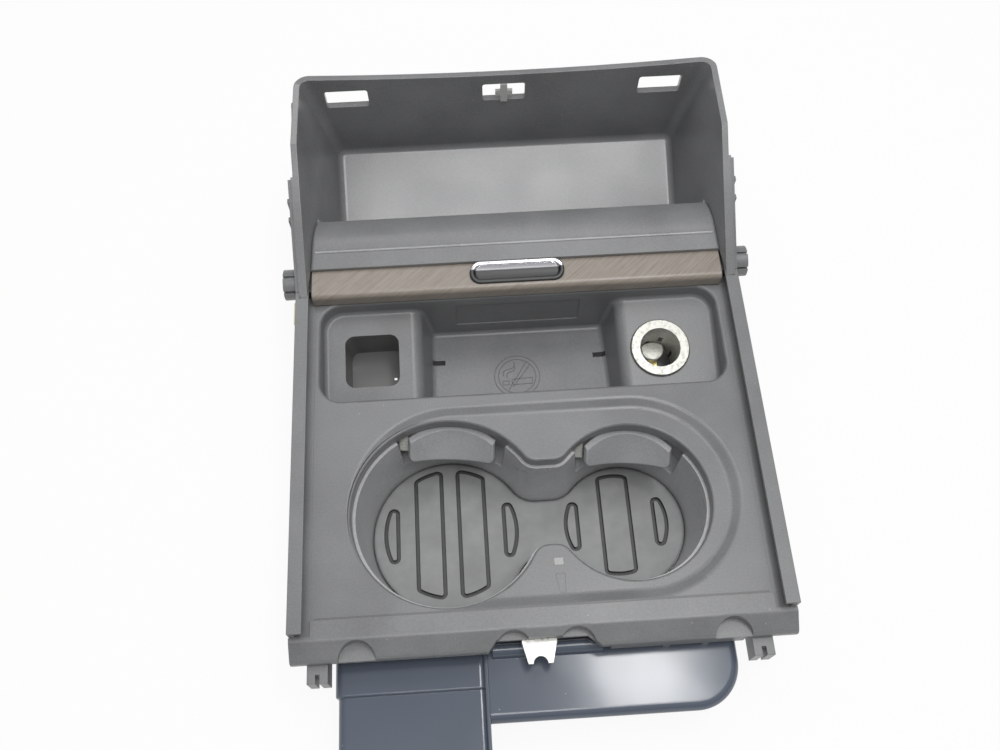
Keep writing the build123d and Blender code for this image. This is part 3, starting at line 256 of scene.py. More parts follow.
def mat_rubber():
    """Moulded rubber: matt with a pale bloom and a fine pitted skin, darkened with painted shade in the
    grooves and along the edge, where walls stand near."""
    material, tree, place = blank("moulded_rubber")
    bloom = put(tree, "TexNoise", {"Vector": place, "Scale": scale_of(BLOOM_MM), "Detail": 5.0})
    tone = put(tree, "ValToRGB", {"Fac": bloom.outputs["Fac"]})
    low, high = tone.color_ramp.elements
    low.position, high.position = 0.32, 0.7
    low.color, high.color = shades(RUBBER_GREY, 0.88, 1.1)
    # Painted shade: the colour darkens towards black where walls stand near
    open_air = put(tree, "AmbientOcclusion", {"Distance": SHADE_REACH}, samples=6)
    painted_shade = put(tree, "MapRange", {"Value": open_air.outputs["AO"], "From Min": SHADE_SPAN[0],
                                   "From Max": SHADE_SPAN[1], "To Min": SHADE_DARK, "To Max": 0.0})
    shaded_tone = put(tree, "Mix", {0: painted_shade.outputs[0], 6: tone.outputs["Color"], 7: linear(BLACK)},
                data_type="RGBA")
    pits = put(tree, "TexNoise", {"Vector": place, "Scale": scale_of(PIT_MM), "Detail": 3.0})
    rounded = put(tree, "Bevel", {"Radius": RUBBER_EDGE}, samples=4)
    bump = put(tree, "Bump", {"Height": pits.outputs["Fac"], "Distance": PIT_DEPTH, "Strength": 0.7,
                              "Normal": rounded.outputs[0]})
    close(tree, put(tree, "BsdfPrincipled", {"Base Color": shaded_tone.outputs[2], "Roughness": 0.55,
                                             "IOR": 1.5, "Normal": bump.outputs["Normal"]}))
    return material


# Wood veneer: the grain's slant across the board, and the width and run of its bands
WOOD_SLANT_DEG = 42
WOOD_BAND_MM = 1.0
WOOD_RUN_MM = 26
# Walnut pores are about 0.2 mm wide, drawn at half a band's width
PORE_FINENESS = (2.0, 5.0, 1.0)
PORE_SPAN = (0.3, 0.42)
PORE_SHARE = 0.25
PORE_DEPTH = 0.02 * MM
WOOD_EDGE = 0.6 * MM


def wood_veneer():
    """Lacquered walnut foil: short dark pores along a slanting grain, under a satin lacquer that
    lights up where the board's nose turns over."""
    material, tree, place = blank("lacquered_walnut")
    slant = radians(WOOD_SLANT_DEG)
    across = put(tree, "VectorMath", {0: place, 1: (sin(slant), -cos(slant), -cos(slant))},
                 operation="DOT_PRODUCT")
    along = put(tree, "VectorMath", {0: place, 1: (cos(slant), sin(slant), sin(slant))},
                operation="DOT_PRODUCT")
    wide = put(tree, "Math", {0: across.outputs["Value"], 1: scale_of(WOOD_BAND_MM)},
               operation="MULTIPLY")
    long = put(tree, "Math", {0: along.outputs["Value"], 1: scale_of(WOOD_RUN_MM)},
               operation="MULTIPLY")
    flow = put(tree, "CombineXYZ", {"X": wide.outputs[0], "Y": long.outputs[0]})
    bands = put(tree, "TexNoise", {"Vector": flow.outputs[0], "Scale": 1.0, "Detail": 5.0,
                                   "Roughness": 0.6, "Distortion": 0.3})
    fine = put(tree, "VectorMath", {0: flow.outputs[0], 1: PORE_FINENESS}, operation="MULTIPLY")
    pores = put(tree, "TexNoise", {"Vector": fine.outputs[0], "Scale": 1.0, "Detail": 2.0})
    tone = put(tree, "ValToRGB", {"Fac": bands.outputs["Fac"]})
    low, high = tone.color_ramp.elements
    low.position, high.position = 0.36, 0.62
    low.color, high.color = linear(WOOD_DARK), linear(WOOD_LIGHT)
    pore = put(tree, "MapRange", {"Value": pores.outputs["Fac"], "From Min": PORE_SPAN[0],
                                  "From Max": PORE_SPAN[1], "To Min": PORE_SHARE, "To Max": 0.0})
    dark = put(tree, "Mix", {0: pore.outputs[0], 6: tone.outputs["Color"], 7: linear(PORE_DARK)},
               data_type="RGBA")
    rounded = put(tree, "Bevel", {"Radius": WOOD_EDGE}, samples=4)
    bump = put(tree, "Bump", {"Height": pores.outputs["Fac"], "Distance": PORE_DEPTH, "Strength": 0.4,
                              "Normal": rounded.outputs[0]})
    close(tree, put(tree, "BsdfPrincipled", {"Base Color": dark.outputs[2], "Roughness": 0.42,
                                             "IOR": 1.5, "Coat Weight": 0.3, "Coat Roughness": 0.25,
                                             "Normal": bump.outputs["Normal"]}))
    return material


METAL_EDGE = 0.3 * MM
METAL_RIPPLE = 0.02 * MM
FILM_SPAN = (0.52, 0.7)


def metal(name, colour, roughness, cloud_mm, stain=0.0, share=1.0):
    """A bare or plated metal: clouded roughness from handling, and a dull film where stain is set.
    A share below one stands for a dull plated skin that scatters part of the light."""
    material, tree, place = blank(name)
    cloud = put(tree, "TexNoise", {"Vector": place, "Scale": scale_of(cloud_mm), "Detail": 5.0})
    rough = put(tree, "MapRange", {"Value": cloud.outputs["Fac"], "From Min": 0.3, "From Max": 0.7,
                                   "To Min": roughness * 0.7, "To Max": roughness * 1.35})
    tint = linear(colour)
    if stain:
        film = put(tree, "MapRange", {"Value": cloud.outputs["Fac"], "From Min": FILM_SPAN[0],
                                      "From Max": FILM_SPAN[1], "To Min": 0.0, "To Max": stain})
        tint = put(tree, "Mix", {0: film.outputs[0], 6: tint, 7: linear(FILM_TINT)},
                   data_type="RGBA").outputs[2]
    rounded = put(tree, "Bevel", {"Radius": METAL_EDGE}, samples=4)
    bump = put(tree, "Bump", {"Height": cloud.outputs["Fac"], "Distance": METAL_RIPPLE, "Strength": 0.3,
                              "Normal": rounded.outputs[0]})
    close(tree, put(tree, "BsdfPrincipled", {"Base Color": tint, "Metallic": share,
                                             "Roughness": rough.outputs[0],
                                             "Normal": bump.outputs["Normal"]}))
    return material


# The chrome ends this far behind the pull's middle, over a short blend; in front it is painted black, a painted
# dark reflection
CHROME_EDGE = 1.6 * MM
CHROME_BLEND = 0.6 * MM
HAZE_MM = 5


def pull_chrome():
    """Chrome on the pull's back lip, and painted black on its front lip, a painted dark reflection where the
    chrome faces the shaded front: a bright line at the back, and hardly any edge in front."""
    material, tree, place = blank("polished_chrome")
    low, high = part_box("lid_pull")
    turn_over = (low.y + high.y) / 2 + CHROME_EDGE
    spot = put(tree, "SeparateXYZ", {0: place})
    # Painted reflection: in front of the chrome edge the pull is black and not metallic
    chrome_share = put(tree, "MapRange", {"Value": spot.outputs["Y"], "From Min": turn_over - CHROME_BLEND,
                                    "From Max": turn_over + CHROME_BLEND})
    tint = put(tree, "Mix", {0: chrome_share.outputs[0], 6: linear(BLACK), 7: linear(CHROME_TINT)},
               data_type="RGBA")
    haze = put(tree, "TexNoise", {"Vector": place, "Scale": scale_of(HAZE_MM), "Detail": 3.0})
    polish = put(tree, "MapRange", {"Value": haze.outputs["Fac"], "To Min": 0.08, "To Max": 0.16})
    rough = put(tree, "Mix", {0: chrome_share.outputs[0], 2: 0.4, 3: polish.outputs[0]})
    close(tree, put(tree, "BsdfPrincipled", {"Base Color": tint.outputs[2],
                                             "Metallic": chrome_share.outputs[0],
                                             "Roughness": rough.outputs[0]}))
    return material


# Blown duct: the waves left by the mould, the gaps between dust specks, and the rounding of edges
WAVE_MM = 60
WAVE_HEIGHT = 1.5 * MM
SPECK_GAP_MM = 11
SPECK_SPAN = (0.02, 0.035)
DUCT_EDGE = 0.6 * MM


def blown_plastic():
    """Blow-moulded polyethylene: a glossy, slightly wavy skin that takes long soft reflections, with
    rounded edges that catch the light, and a few dust specks."""
    material, tree, place = blank("blow_moulded_polyethylene")
    wave = put(tree, "TexNoise", {"Vector": place, "Scale": scale_of(WAVE_MM), "Detail": 2.0})
    tone = put(tree, "ValToRGB", {"Fac": wave.outputs["Fac"]})
    low, high = tone.color_ramp.elements
    low.position, high.position = 0.3, 0.7
    low.color, high.color = shades(DUCT_BLUE, 0.92, 1.06)
    speck = put(tree, "TexVoronoi", {"Vector": place, "Scale": scale_of(SPECK_GAP_MM)})
    mote = put(tree, "MapRange", {"Value": speck.outputs["Distance"], "From Min": SPECK_SPAN[0],
                                  "From Max": SPECK_SPAN[1], "To Min": 0.4, "To Max": 0.0})
    dusty = put(tree, "Mix", {0: mote.outputs[0], 6: tone.outputs["Color"], 7: linear(DUST)},
                data_type="RGBA")
    rounded = put(tree, "Bevel", {"Radius": DUCT_EDGE}, samples=6)
    bump = put(tree, "Bump", {"Height": wave.outputs["Fac"], "Distance": WAVE_HEIGHT, "Strength": 0.3,
                              "Normal": rounded.outputs[0]})
    close(tree, put(tree, "BsdfPrincipled", {"Base Color": dusty.outputs[2], "Roughness": 0.16,
                                             "IOR": 1.52, "Normal": bump.outputs["Normal"]}))
    return material


FIBRE_MM = 0.9
FIBRE_HEIGHT = 0.3 * MM


def cream_felt():
    """Pressed felt: dull and fibrous, a little darker between its fibres."""
    material, tree, place = blank("cream_felt")
    fibre = put(tree, "TexNoise", {"Vector": place, "Scale": scale_of(FIBRE_MM), "Detail": 6.0})
    tone = put(tree, "ValToRGB", {"Fac": fibre.outputs["Fac"]})
    low, high = tone.color_ramp.elements
    low.color, high.color = shades(CREAM, 0.8, 1.0)
    bump = put(tree, "Bump", {"Height": fibre.outputs["Fac"], "Distance": FIBRE_HEIGHT})
    close(tree, put(tree, "BsdfPrincipled", {"Base Color": tone.outputs["Color"], "Roughness": 0.9,
                                             "Normal": bump.outputs["Normal"]}))
    return material


MILK_MM = 1.5


def light_guide():
    """Frosted acrylic: a milky grey-white body under a polished face."""
    material, tree, place = blank("frosted_acrylic")
    milk = put(tree, "TexNoise", {"Vector": place, "Scale": scale_of(MILK_MM), "Detail": 2.0})
    rough = put(tree, "MapRange", {"Value": milk.outputs["Fac"], "To Min": 0.2, "To Max": 0.34})
    tone = put(tree, "ValToRGB", {"Fac": milk.outputs["Fac"]})
    low, high = tone.color_ramp.elements
    low.color, high.color = shades(FROST, 0.85, 1.1)
    close(tree, put(tree, "BsdfPrincipled", {"Base Color": tone.outputs["Color"], "IOR": 1.49,
                                             "Roughness": rough.outputs[0]}))
    return material


# Half the width of the empty switch seat, whose inside is darkened with painted shade
SWITCH_HALF = 14.3 * MM

charcoal = moulded_plastic("moulded_abs_charcoal", CHARCOAL, 0.36, wear_and_highlight=0.15)
# The panel's switch pocket gets painted shade inside
panel_plastic = moulded_plastic("moulded_abs_panel", CHARCOAL, 0.36, wear_and_highlight=0.04, edge_mm=0.2,
                                pocket=(MOUNTS["switch_seat"], SWITCH_HALF))
tray_plastic = moulded_plastic("moulded_abs_tray", TRAY_GREY, 0.2)
# Painted light: the grips drawn paler than their charcoal plastic
lightened_grip_plastic = moulded_plastic("moulded_abs_grip_lightened", GRIP_LIGHTENED_GREY, 0.36, wear_and_highlight=0.05, edge_mm=0.7)
# Painted light: the liner drawn paler than its charcoal plastic
lightened_liner_plastic = moulded_plastic("moulded_abs_liner_lightened", LINER_LIGHTENED_GREY, 0.3, grain_mm=1.2, wear_and_highlight=0.04)
black_plastic = moulded_plastic("moulded_acetal_black", BLACK, 0.4, dust=0.2, wear_and_highlight=0.1)
clip_plastic = moulded_plastic("moulded_nylon_grey", CLIP_GREY, 0.45, dust=0.0)
curtain_foil = moulded_plastic("foiled_slats_brown", FOIL_BROWN, 0.5, dust=0.2)
# Painted highlight: the paler grey of the sill's crease
crease_highlight_plastic = moulded_plastic("moulded_abs_crease_highlight", CREASE_HIGHLIGHT_GREY, 0.3, dust=0.0)
sign_plastic = moulded_plastic("moulded_abs_sign", SIGN_GREY, 0.4, dust=0.0, wear_and_highlight=0.0, edge_mm=0.1)
rubber = mat_rubber()
walnut = wood_veneer()
chrome = pull_chrome()
steel = metal("spring_steel", STEEL_TINT, 0.32, 2.0, share=0.35)
zinc = metal("zinc_plated_steel", ZINC_TINT, 0.36, 1.6, stain=0.45, share=0.35)
brass = metal("contact_brass", BRASS_TINT, 0.28, 1.5, stain=0.2)
duct = blown_plastic()
felt = cream_felt()
acrylic = light_guide()

FINISHES = [
    (panel_plastic, ("cup_panel",)),
    (charcoal, ("left_rail", "right_rail", "front_bar", "sill_cover", "left_peg", "right_peg")),
    (tray_plastic, ("storage_tray",)),
    (lightened_grip_plastic, ("left_grip", "right_grip")),
    (lightened_liner_plastic, ("cup_liner",)),
    (black_plastic, ("pull_cup", "lid_carrier", "left_shoe", "right_shoe", "curtain_guide",
                     "socket_insulator")),
    (clip_plastic, ("slot_clip",)),
    (rubber, ("cup_mat",)),
    (walnut, ("lid_board",)),
    (curtain_foil, ("lid_curtain",)),
    (chrome, ("lid_pull",)),
    (steel, ("left_grip_spring", "right_grip_spring", "left_grip_pin", "right_grip_pin",
             "liner_screws", "latch_clip")),
    (zinc, ("socket_shell",)),
    (brass, ("socket_contact",)),
    (duct, ("duct_body", "duct_neck")),
    (felt, ("rail_pad",)),
    (acrylic, ("light_window",)),
]
for finish, names in FINISHES:
    for name in names:
        NODES[name].data.materials.clear()
        NODES[name].data.materials.append(finish)


# Meshes

def make_piece(name, points, faces, material, body=None, slot=None, smooth=True):
    """A mesh object at the origin, from an array of points and a list of faces."""
    mesh = bpy.data.meshes.new(name)
    mesh.from_pydata(points.tolist(), [], faces)
    mesh.polygons.foreach_set("use_smooth", np.full(len(mesh.polygons), smooth))
    mesh.materials.append(material)
    piece = bpy.data.objects.new(name, mesh)
    bpy.context.scene.collection.objects.link(piece)
    if body:
        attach(piece, body)
    return piece


def grid_faces(rows, columns, closed_rows=False, closed_columns=False):
    """Quads of a grid of points stored row by row, wrapped round where a direction closes."""
    row = np.arange(rows if closed_rows else rows - 1)
    column = np.arange(columns if closed_columns else columns - 1)
    i, j = np.meshgrid(row, column, indexing="ij")
    k, m = (i + 1) % rows, (j + 1) % columns
    quads = np.stack([i * columns + j, i * columns + m, k * columns + m, k * columns + j], axis=-1)
    return quads.reshape(-1, 4)


def capped(rows, columns):
    """Quads of a tube of rows, each a closed loop, with a flat face over both its ends."""
    loop = np.arange(columns)
    ends = [loop[::-1].tolist(), (loop + (rows - 1) * columns).tolist()]
    return grid_faces(rows, columns, False, True).tolist() + ends


# Points along a straight line and round a ring
LINE_STEPS = 41
RING_STEPS = 96


def sweep(path, profile, closed):
    """A flat profile (sideways, up) carried along a level path, with end caps on an open one."""
    if closed:
        ahead = np.roll(path, -1, axis=0) - np.roll(path, 1, axis=0)
    else:
        ahead = np.gradient(path, axis=0)
    ahead /= np.linalg.norm(ahead, axis=1, keepdims=True)
    side = np.stack([ahead[:, 1], -ahead[:, 0], np.zeros(len(path))], axis=1)
    points = (path[:, None, :] + side[:, None, :] * profile[None, :, 0:1]
              + np.array([0, 0, 1.0]) * profile[None, :, 1:2])
    if closed:
        faces = grid_faces(len(path), len(profile), True, True).tolist()
    else:
        faces = capped(len(path), len(profile))
    return points.reshape(-1, 3), faces


def joined(parts):
    """Several pairs of points and faces as one pair, with the faces counted on."""
    starts = np.cumsum([0] + [len(points) for points, faces in parts])
    faces = [[int(start) + corner for corner in face]
             for start, part in zip(starts, parts) for face in part[1]]
    return np.concatenate([points for points, faces in parts]), faces


# Roller curtain: slats that come out behind the end board as it slides shut, in a bunch when open

CURTAIN_PITCH = 7.0 * MM
CURTAIN_SLAT = 5.6 * MM
CURTAIN_HEIGHT = 3.6 * MM
CURTAIN_FILM = 0.8 * MM
CURTAIN_BUNCH = 11.0 * MM
CURTAIN_GAP = 0.3 * MM
CURTAIN_SINK = 0.2 * MM
SLAT_STEPS = 14
SHARE_STEPS = 2001


def slat_profile(length):
    """Heights of the curtain's top along its length: rounded slats with a film between them."""
    along = np.linspace(0, length, int(length / CURTAIN_PITCH) * SLAT_STEPS + 1)
    spot = np.abs((along + CURTAIN_PITCH / 2) % CURTAIN_PITCH - CURTAIN_PITCH / 2) / (CURTAIN_SLAT / 2)
    crown = np.sqrt(np.clip(1 - np.clip(spot, 0, 1) ** 4, 0, 1))
    return along, CURTAIN_FILM / 2 + (CURTAIN_HEIGHT - CURTAIN_FILM) / 2 * crown


def make_curtain():
    """The curtain's moving stretch: drawn out flat when shut, and pushed together when open. Each
    point's share of the lid's travel is a smooth step, so its rest place is where that step puts
    the slat that it belongs to when the lid is shut."""
    low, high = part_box("lid_curtain")
    travel = JOINTS["lid_slide"]["range_m"][1]
    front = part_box("lid_carrier")[1].y + CURTAIN_GAP
    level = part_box("left_shoe")[1].z - CURTAIN_HEIGHT / 2 - CURTAIN_SINK
    along, rise = slat_profile(travel + CURTAIN_BUNCH)
    share = np.linspace(0, 1, SHARE_STEPS)
    follow = share * share * (3 - 2 * share)
    shut_along = (1 - share) * CURTAIN_BUNCH + (1 - follow) * travel
    at = np.interp(along, shut_along[::-1], share[::-1])
    y = front + (1 - at) * CURTAIN_BUNCH
    loop_y = np.concatenate([y, y[::-1]])
    loop_z = np.concatenate([level + rise, level - rise[::-1]])
    count = len(loop_y)
    ends = np.array([low.x, high.x])
    points = np.stack([np.repeat(ends, count), np.tile(loop_y, 2), np.tile(loop_z, 2)], axis=1)
    strip = np.arange(len(y) - 1)
    caps = np.stack([strip, strip + 1, count - 2 - strip, count - 1 - strip], axis=1)
    faces = np.concatenate([grid_faces(2, count, False, True)[:, ::-1], caps, (caps + count)[:, ::-1]])
    piece = make_piece("roller_curtain", points, faces.tolist(), curtain_foil, slot="curtain_slats")
    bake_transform(piece)


make_curtain()


# Signs in relief: a no-smoking sign on the well's floor, and a mark below the light window

# Heights of the cup panel's floors, as they are in the CAD
WELL_FLOOR = 14.0 * MM
FIELD_FLOOR = 49.5 * MM
SIGN_LINE = 0.6 * MM
SIGN_RISE = 0.25 * MM
# The mark is finer and lower than the sign
MARK_SHARE = (0.6, 0.4)
# Both signs, in millimetres across and to the back
SIGN_MIDDLE = (-1.8, 85.2)
SIGN_RADII = (12.3, 10.1)
SLASH_LINES = [((3.6, 93.7), (-6.8, 77.2)), ((5.7, 92.0), (-4.5, 78.8))]
CIGARETTE = [(-4.8, 83.4), (6.5, 84.1), (6.2, 80.5), (-4.4, 80.3)]
EMBER = [(-9.7, 82.7), (-6.3, 82.7), (-6.3, 80.4), (-9.7, 80.4)]
SMOKE = [((-7.1, 84.7), (-3.1, 91.4), 1.2), ((-9.2, 85.7), (-3.0, 93.6), 1.4)]
WINDOW_MARK = [(7.2, -33.5), (11.5, -33.3), (11.2, -42.2), (8.6, -42.2)]


def line_path(corners, level, steps=12):
    """Points spread evenly along each straight run between corners, in millimetres at one level."""
    corners = np.asarray(corners)
    share = np.linspace(0, 1, steps, endpoint=False)[None, :, None]
    runs = corners[:-1, None, :] * (1 - share) + corners[1:, None, :] * share
    flat = np.concatenate([runs.reshape(-1, 2), corners[-1:]]) * MM
    return np.column_stack([flat, np.full(len(flat), level)])


def ring_path(middle, radius, level, steps=RING_STEPS):
    """A circle about a middle, in millimetres at one level."""
    turn = np.linspace(0, 2 * np.pi, steps, endpoint=False)
    flat = (np.array(middle) + radius * np.stack([np.cos(turn), np.sin(turn)], axis=1)) * MM
    return np.column_stack([flat, np.full(steps, level)])


def smoke_path(start, end, swing, level, steps=40):
    """A sine wave of one period about the straight line from start to end."""
    start, end = np.array(start), np.array(end)
    share = np.linspace(0, 1, steps)[:, None]
    run = end - start
    aside = np.array([-run[1], run[0]]) / np.linalg.norm(run)
    flat = (start + share * run + swing * np.sin(2 * np.pi * share) * aside) * MM
    return np.column_stack([flat, np.full(steps, level)])


def make_signs():
    """Thin ridges with sloping sides, swept along the outlines of both signs."""
    ridge = np.array([(-0.5, 0.0), (-0.35, 1.0), (0.35, 1.0), (0.5, 0.0)]) * (SIGN_LINE, SIGN_RISE)
    level = WELL_FLOOR - SEATED
    parts = [sweep(ring_path(SIGN_MIDDLE, radius, level), ridge, True) for radius in SIGN_RADII]
    parts += [sweep(line_path(line, level), ridge, False) for line in SLASH_LINES]
    parts += [sweep(line_path(shape + shape[:1], level)[:-1], ridge, True)
              for shape in (CIGARETTE, EMBER)]
    parts += [sweep(smoke_path(*wave, level), ridge, False) for wave in SMOKE]
    make_piece("well_sign", *joined(parts), sign_plastic, "housing", "charcoal_plastic", smooth=False)
    mark = line_path(WINDOW_MARK + WINDOW_MARK[:1], FIELD_FLOOR - SEATED)[:-1]
    make_piece("window_mark", *sweep(mark, ridge * MARK_SHARE, True), panel_plastic, "housing",
               "charcoal_plastic", smooth=False)


make_signs()


# Painted shadow in the seam between the cup panel and the front bar: a dark strip

SEAM_WIDTH = 1.3 * MM
SEAM_FILL = 0.08 * MM
SEAM_INSET = 1.5 * MM


def make_seam_shadow():
    """A dark flat strip along the panel's front edge, a painted shadow, as a low box carried across the panel."""
    low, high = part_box("cup_panel")
    x = np.linspace(low.x + SEAM_INSET, high.x - SEAM_INSET, LINE_STEPS)
    path = np.stack([x, 0 * x + low.y + SEAM_WIDTH / 2, 0 * x + high.z], axis=1)
    strip = np.array([(-0.5, -1.0), (-0.5, 1.0), (0.5, 1.0), (0.5, -1.0)]) * (SEAM_WIDTH, SEAM_FILL)
    # The sign's darker grey paints the shadow in the seam
    make_piece("seam_shadow", *sweep(path, strip, False), sign_plastic, "housing", "charcoal_plastic",
               smooth=False)


make_seam_shadow()


# The crease along the front slope of the sill, in a paler grey: a painted highlight

# Behind the sill's front edge, and below its crest
CREASE_SETBACK = 9.2 * MM
CREASE_DROP = 1.11 * MM
CREASE_INSET = 2.5 * MM
CREASE_HALF = 0.8 * MM
CREASE_CROWN = 0.25 * MM
CREASE_HEIGHT = 0.32 * MM
SILL_SLOPE = 0.182


def make_crease():
    """A low ridge with sloping sides, leaning with the sill's front slope and carried across it, in a
    paler grey that paints a highlight along the crease.
    """
    low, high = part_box("sill_cover")
    aside = np.array([-CREASE_HALF, -CREASE_CROWN, CREASE_CROWN, CREASE_HALF])
    rise = np.array([-SEATED, CREASE_HEIGHT, CREASE_HEIGHT, -SEATED]) - SILL_SLOPE * aside
    x = np.linspace(low.x + CREASE_INSET, high.x - CREASE_INSET, LINE_STEPS)
    path = np.stack([x, 0 * x + low.y + CREASE_SETBACK, 0 * x + high.z - CREASE_DROP], axis=1)
    make_piece("sill_crease", *sweep(path, np.stack([aside, rise], axis=1), False), crease_highlight_plastic,
               "housing", "charcoal_plastic", smooth=False)


make_crease()


# The scoop inside the pull, which leads the finger up to the back lip

SCOOP_RISE = 2.6 * MM
SCOOP_ROWS = 33
SCOOP_COLUMNS = 41


def make_scoop():
    """A slot-shaped floor whose height grows with the square of the way from front to back: each row
    lies across the pull, as wide as the slot is there, and its underside is flat."""
    low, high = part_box("pull_cup")
    radius = (high.y - low.y) / 2
    turn = np.linspace(-np.pi / 2, np.pi / 2, SCOOP_ROWS)[:, None]
    half = high.x - radius + radius * np.cos(turn)
    across = np.linspace(-1, 1, SCOOP_COLUMNS)
    way = (1 + np.sin(turn)) / 2
    x = half * np.concatenate([across, across[::-1]])
    y = low.y + 2 * radius * way + 0 * x
    over = np.repeat([1.0, 0.0], SCOOP_COLUMNS)
    z = high.z + over * SCOOP_RISE * way ** 2 - (1 - over) * SEATED
    points = np.stack([x, y, z], axis=-1).reshape(-1, 3)
    make_piece("pull_scoop", points, capped(SCOOP_ROWS, 2 * SCOOP_COLUMNS), chrome, "lid", "chrome")


make_scoop()


# Inside of the power socket: the stepped base, its slots, and a seal round the flange

SOCKET = MOUNTS["power_socket"]
BORE_RADIUS = SOCKET["dims"]["r_mm"] * MM
BORE_HALF = SOCKET["dims"]["length_mm"] * MM / 2
FLANGE_RADIUS = 15.0 * MM
FLANGE_HEIGHT = 1.6 * MM
SEAL_WIDTH = 0.7 * MM
SEAL_HEIGHT = 0.4 * MM
STEP_RADIUS = 6.2 * MM
STEP_BACK = 6.2 * MM
STEP_HEIGHT = 7.5 * MM
STEP_ROUND = 0.5 * MM
STEP_STEPS = 72
BORE_ROOM = 0.25 * MM
SLOT_DEPTH = 0.12 * MM
SLOT_STEPS = 9
# Slots in the barrel: angle in degrees from +X towards the back, half angle, lowest and highest in mm
SOCKET_SLOTS = [(105.0, 6.0, -12.3, -6.3), (69.0, 6.0, -5.5, 0.5), (20.0, 4.5, -15.0, -6.0)]


def in_socket(across, back, height):
    """Points from distances across, to the back and along the socket's tilted axis."""
    axis = np.array(SOCKET["axis"])
    side = np.array([1.0, 0.0, 0.0])
    rear = np.cross(axis, side)
    spread = [np.asarray(value)[..., None] for value in np.broadcast_arrays(across, back, height)]
    return np.array(SOCKET["pos_m"]) + spread[0] * side + spread[1] * rear + spread[2] * axis


def make_seal():
    """A flat ring with a square section, turned about the socket's axis round its flange."""
    turn = np.linspace(0, 2 * np.pi, RING_STEPS, endpoint=False)[:, None]
    inner, outer = FLANGE_RADIUS, FLANGE_RADIUS + SEAL_WIDTH
    low = BORE_HALF - FLANGE_HEIGHT - SEATED
    high = low + SEAL_HEIGHT
    radius = np.array([[inner, inner, outer, outer]])
    height = np.array([[low, high, high, low]])
    points = in_socket(radius * np.cos(turn), radius * np.sin(turn), height + 0 * turn)
    make_piece("socket_seal", points.reshape(-1, 3), grid_faces(RING_STEPS, 4, True, True).tolist(),
               black_plastic, "housing", "black_plastic", smooth=False)


def make_base_step():
    """A drum cut off by the bore: from its own middle, each direction's radius is the drum's or the
    distance to the bore's wall, whichever is less, and one chamfer takes off the top edge."""
    turn = np.linspace(0, 2 * np.pi, STEP_STEPS, endpoint=False)
    wall = BORE_RADIUS - BORE_ROOM
    to_wall = np.sqrt(wall ** 2 - (STEP_BACK * np.cos(turn)) ** 2) - STEP_BACK * np.sin(turn)
    radius = np.minimum(STEP_RADIUS, to_wall)
    shrink = np.array([0.0, 0.0, STEP_ROUND])[:, None]
    foot = -BORE_HALF - SEATED
    top = foot + STEP_HEIGHT
    height = np.array([foot, top - STEP_ROUND, top])[:, None]
    points = in_socket((radius - shrink) * np.cos(turn), STEP_BACK + (radius - shrink) * np.sin(turn),
                       height + 0 * turn)
    make_piece("socket_base_step", points.reshape(-1, 3), capped(3, STEP_STEPS), zinc, "housing",
               "plated_steel", smooth=False)


def slot_patch(middle, half, low, high):
    """A thin curved plate on the barrel's wall, between two angles and two heights."""
    turn = np.radians(np.linspace(middle - half, middle + half, SLOT_STEPS))[:, None]
    inner, outer = BORE_RADIUS - SLOT_DEPTH, BORE_RADIUS + SLOT_DEPTH
    radius = np.array([[inner, inner, outer, outer]])
    height = np.array([[low, high, high, low]]) * MM
    points = in_socket(radius * np.cos(turn), radius * np.sin(turn), height + 0 * turn)
    return points.reshape(-1, 3), capped(SLOT_STEPS, 4)


make_seal()
make_base_step()
make_piece("socket_slots", *joined([slot_patch(*place) for place in SOCKET_SLOTS]), black_plastic,
           "housing", "black_plastic", smooth=False)


# Stage

def make_floor():
    """A pale floor that goes to white in the picture but keeps the shadow."""
    material, tree, _ = blank("pale_floor")
    path = put(tree, "LightPath")
    seen = put(tree, "Math", {0: path.outputs["Is Camera Ray"], 1: path.outputs["Is Glossy Ray"]},
               operation="MAXIMUM")
    any_view = put(tree, "Math", {0: seen.outputs[0], 1: path.outputs["Is Transmission Ray"]},
                   operation="MAXIMUM")
    share = put(tree, "Math", {0: any_view.outputs[0], 1: FLOOR_GLOW}, operation="MULTIPLY")
    matt = put(tree, "BsdfDiffuse", {"Color": linear(FLOOR_WHITE)})
    glow = put(tree, "Emission", {"Color": (1, 1, 1, 1), "Strength": 1.0})
    close(tree, put(tree, "MixShader", {0: share.outputs[0], 1: matt.outputs[0], 2: glow.outputs[0]}))
    corners = np.array([[-1, -1, 0], [1, -1, 0], [1, 1, 0], [-1, 1, 0]]) * FLOOR_HALF
    make_piece("studio_floor", corners, [[0, 1, 2, 3]], material, smooth=False)


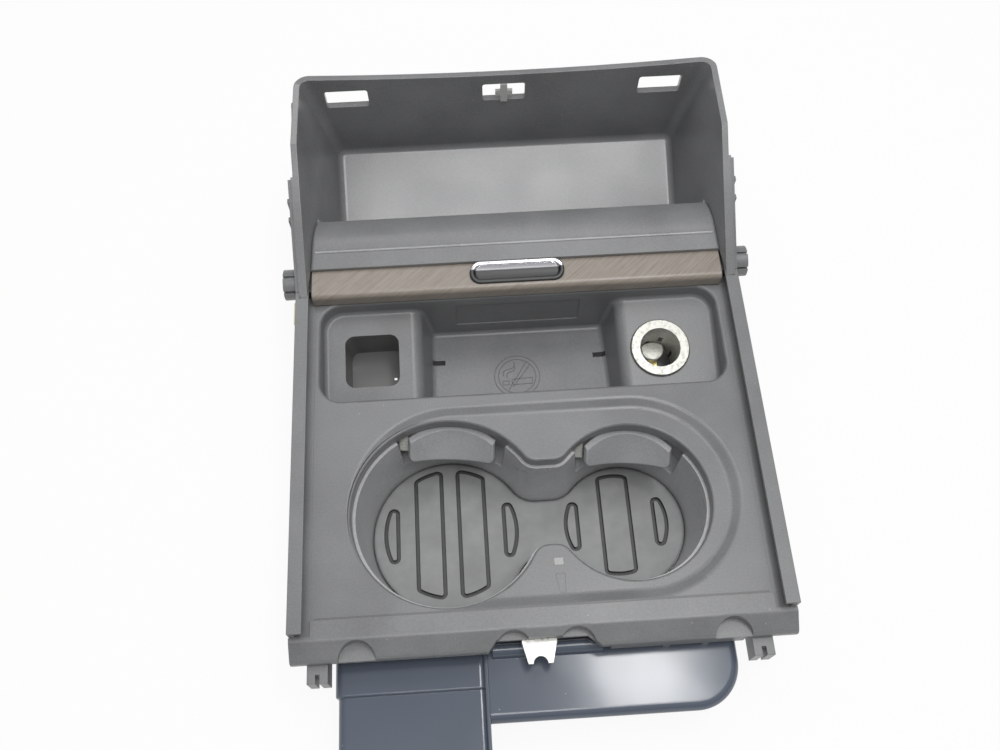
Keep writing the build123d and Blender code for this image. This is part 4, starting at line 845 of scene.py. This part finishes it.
def aim(thing, place, target):
    """Stands a lamp or camera at a place, looking at a target with its top up."""
    thing.location = place
    thing.rotation_euler = (Vector(target) - Vector(place)).to_track_quat("-Z", "Y").to_euler()


def make_lamp(name, place, width, depth, power):
    """A soft rectangular lamp aimed where the camera looks."""
    data = bpy.data.lights.new(name, "AREA")
    data.shape = "RECTANGLE"
    data.size = width
    data.size_y = depth
    data.energy = power
    lamp = bpy.data.objects.new(name, data)
    bpy.context.scene.collection.objects.link(lamp)
    aim(lamp, place, CAMERA_AIM)


def make_world():
    """Soft studio air: the strength grows towards the top, and pale walls stand all round."""
    world = bpy.data.worlds.new("studio_air")
    bpy.context.scene.world = world
    world.use_nodes = True
    tree = world.node_tree
    tree.nodes.clear()
    way = put(tree, "TexCoord").outputs["Generated"]
    lean = put(tree, "VectorMath", {0: way, 1: AIR_DIRECTION}, operation="DOT_PRODUCT")
    air = put(tree, "MapRange", {"Value": lean.outputs["Value"], "From Min": AIR_LEAN[0],
                                 "From Max": AIR_LEAN[1], "To Min": AIR_DIM, "To Max": AIR_BRIGHT})
    height = put(tree, "SeparateXYZ", {0: way})
    wall = put(tree, "MapRange", {"Value": height.outputs["Z"], "From Min": WALL_LOW,
                                  "From Max": WALL_HIGH, "To Min": WALL_GLOW, "To Max": 0.0})
    both = put(tree, "Math", {0: air.outputs[0], 1: wall.outputs[0]}, operation="MAXIMUM")
    glow = put(tree, "Background", {"Color": (1, 1, 1, 1), "Strength": both.outputs[0]})
    put(tree, "OutputWorld", {"Surface": glow.outputs[0]})


def make_camera():
    """The photograph's viewpoint."""
    data = bpy.data.cameras.new("photo_camera")
    data.lens = CAMERA_LENS
    data.sensor_width = CAMERA_SENSOR
    data.clip_start = CAMERA_NEAR
    camera = bpy.data.objects.new("photo_camera", data)
    bpy.context.scene.collection.objects.link(camera)
    aim(camera, CAMERA_PLACE, CAMERA_AIM)
    bpy.context.scene.camera = camera


make_floor()
for lamp in LAMPS:
    make_lamp(*lamp)
make_world()
make_camera()
bpy.context.scene.view_settings.view_transform = "Standard"
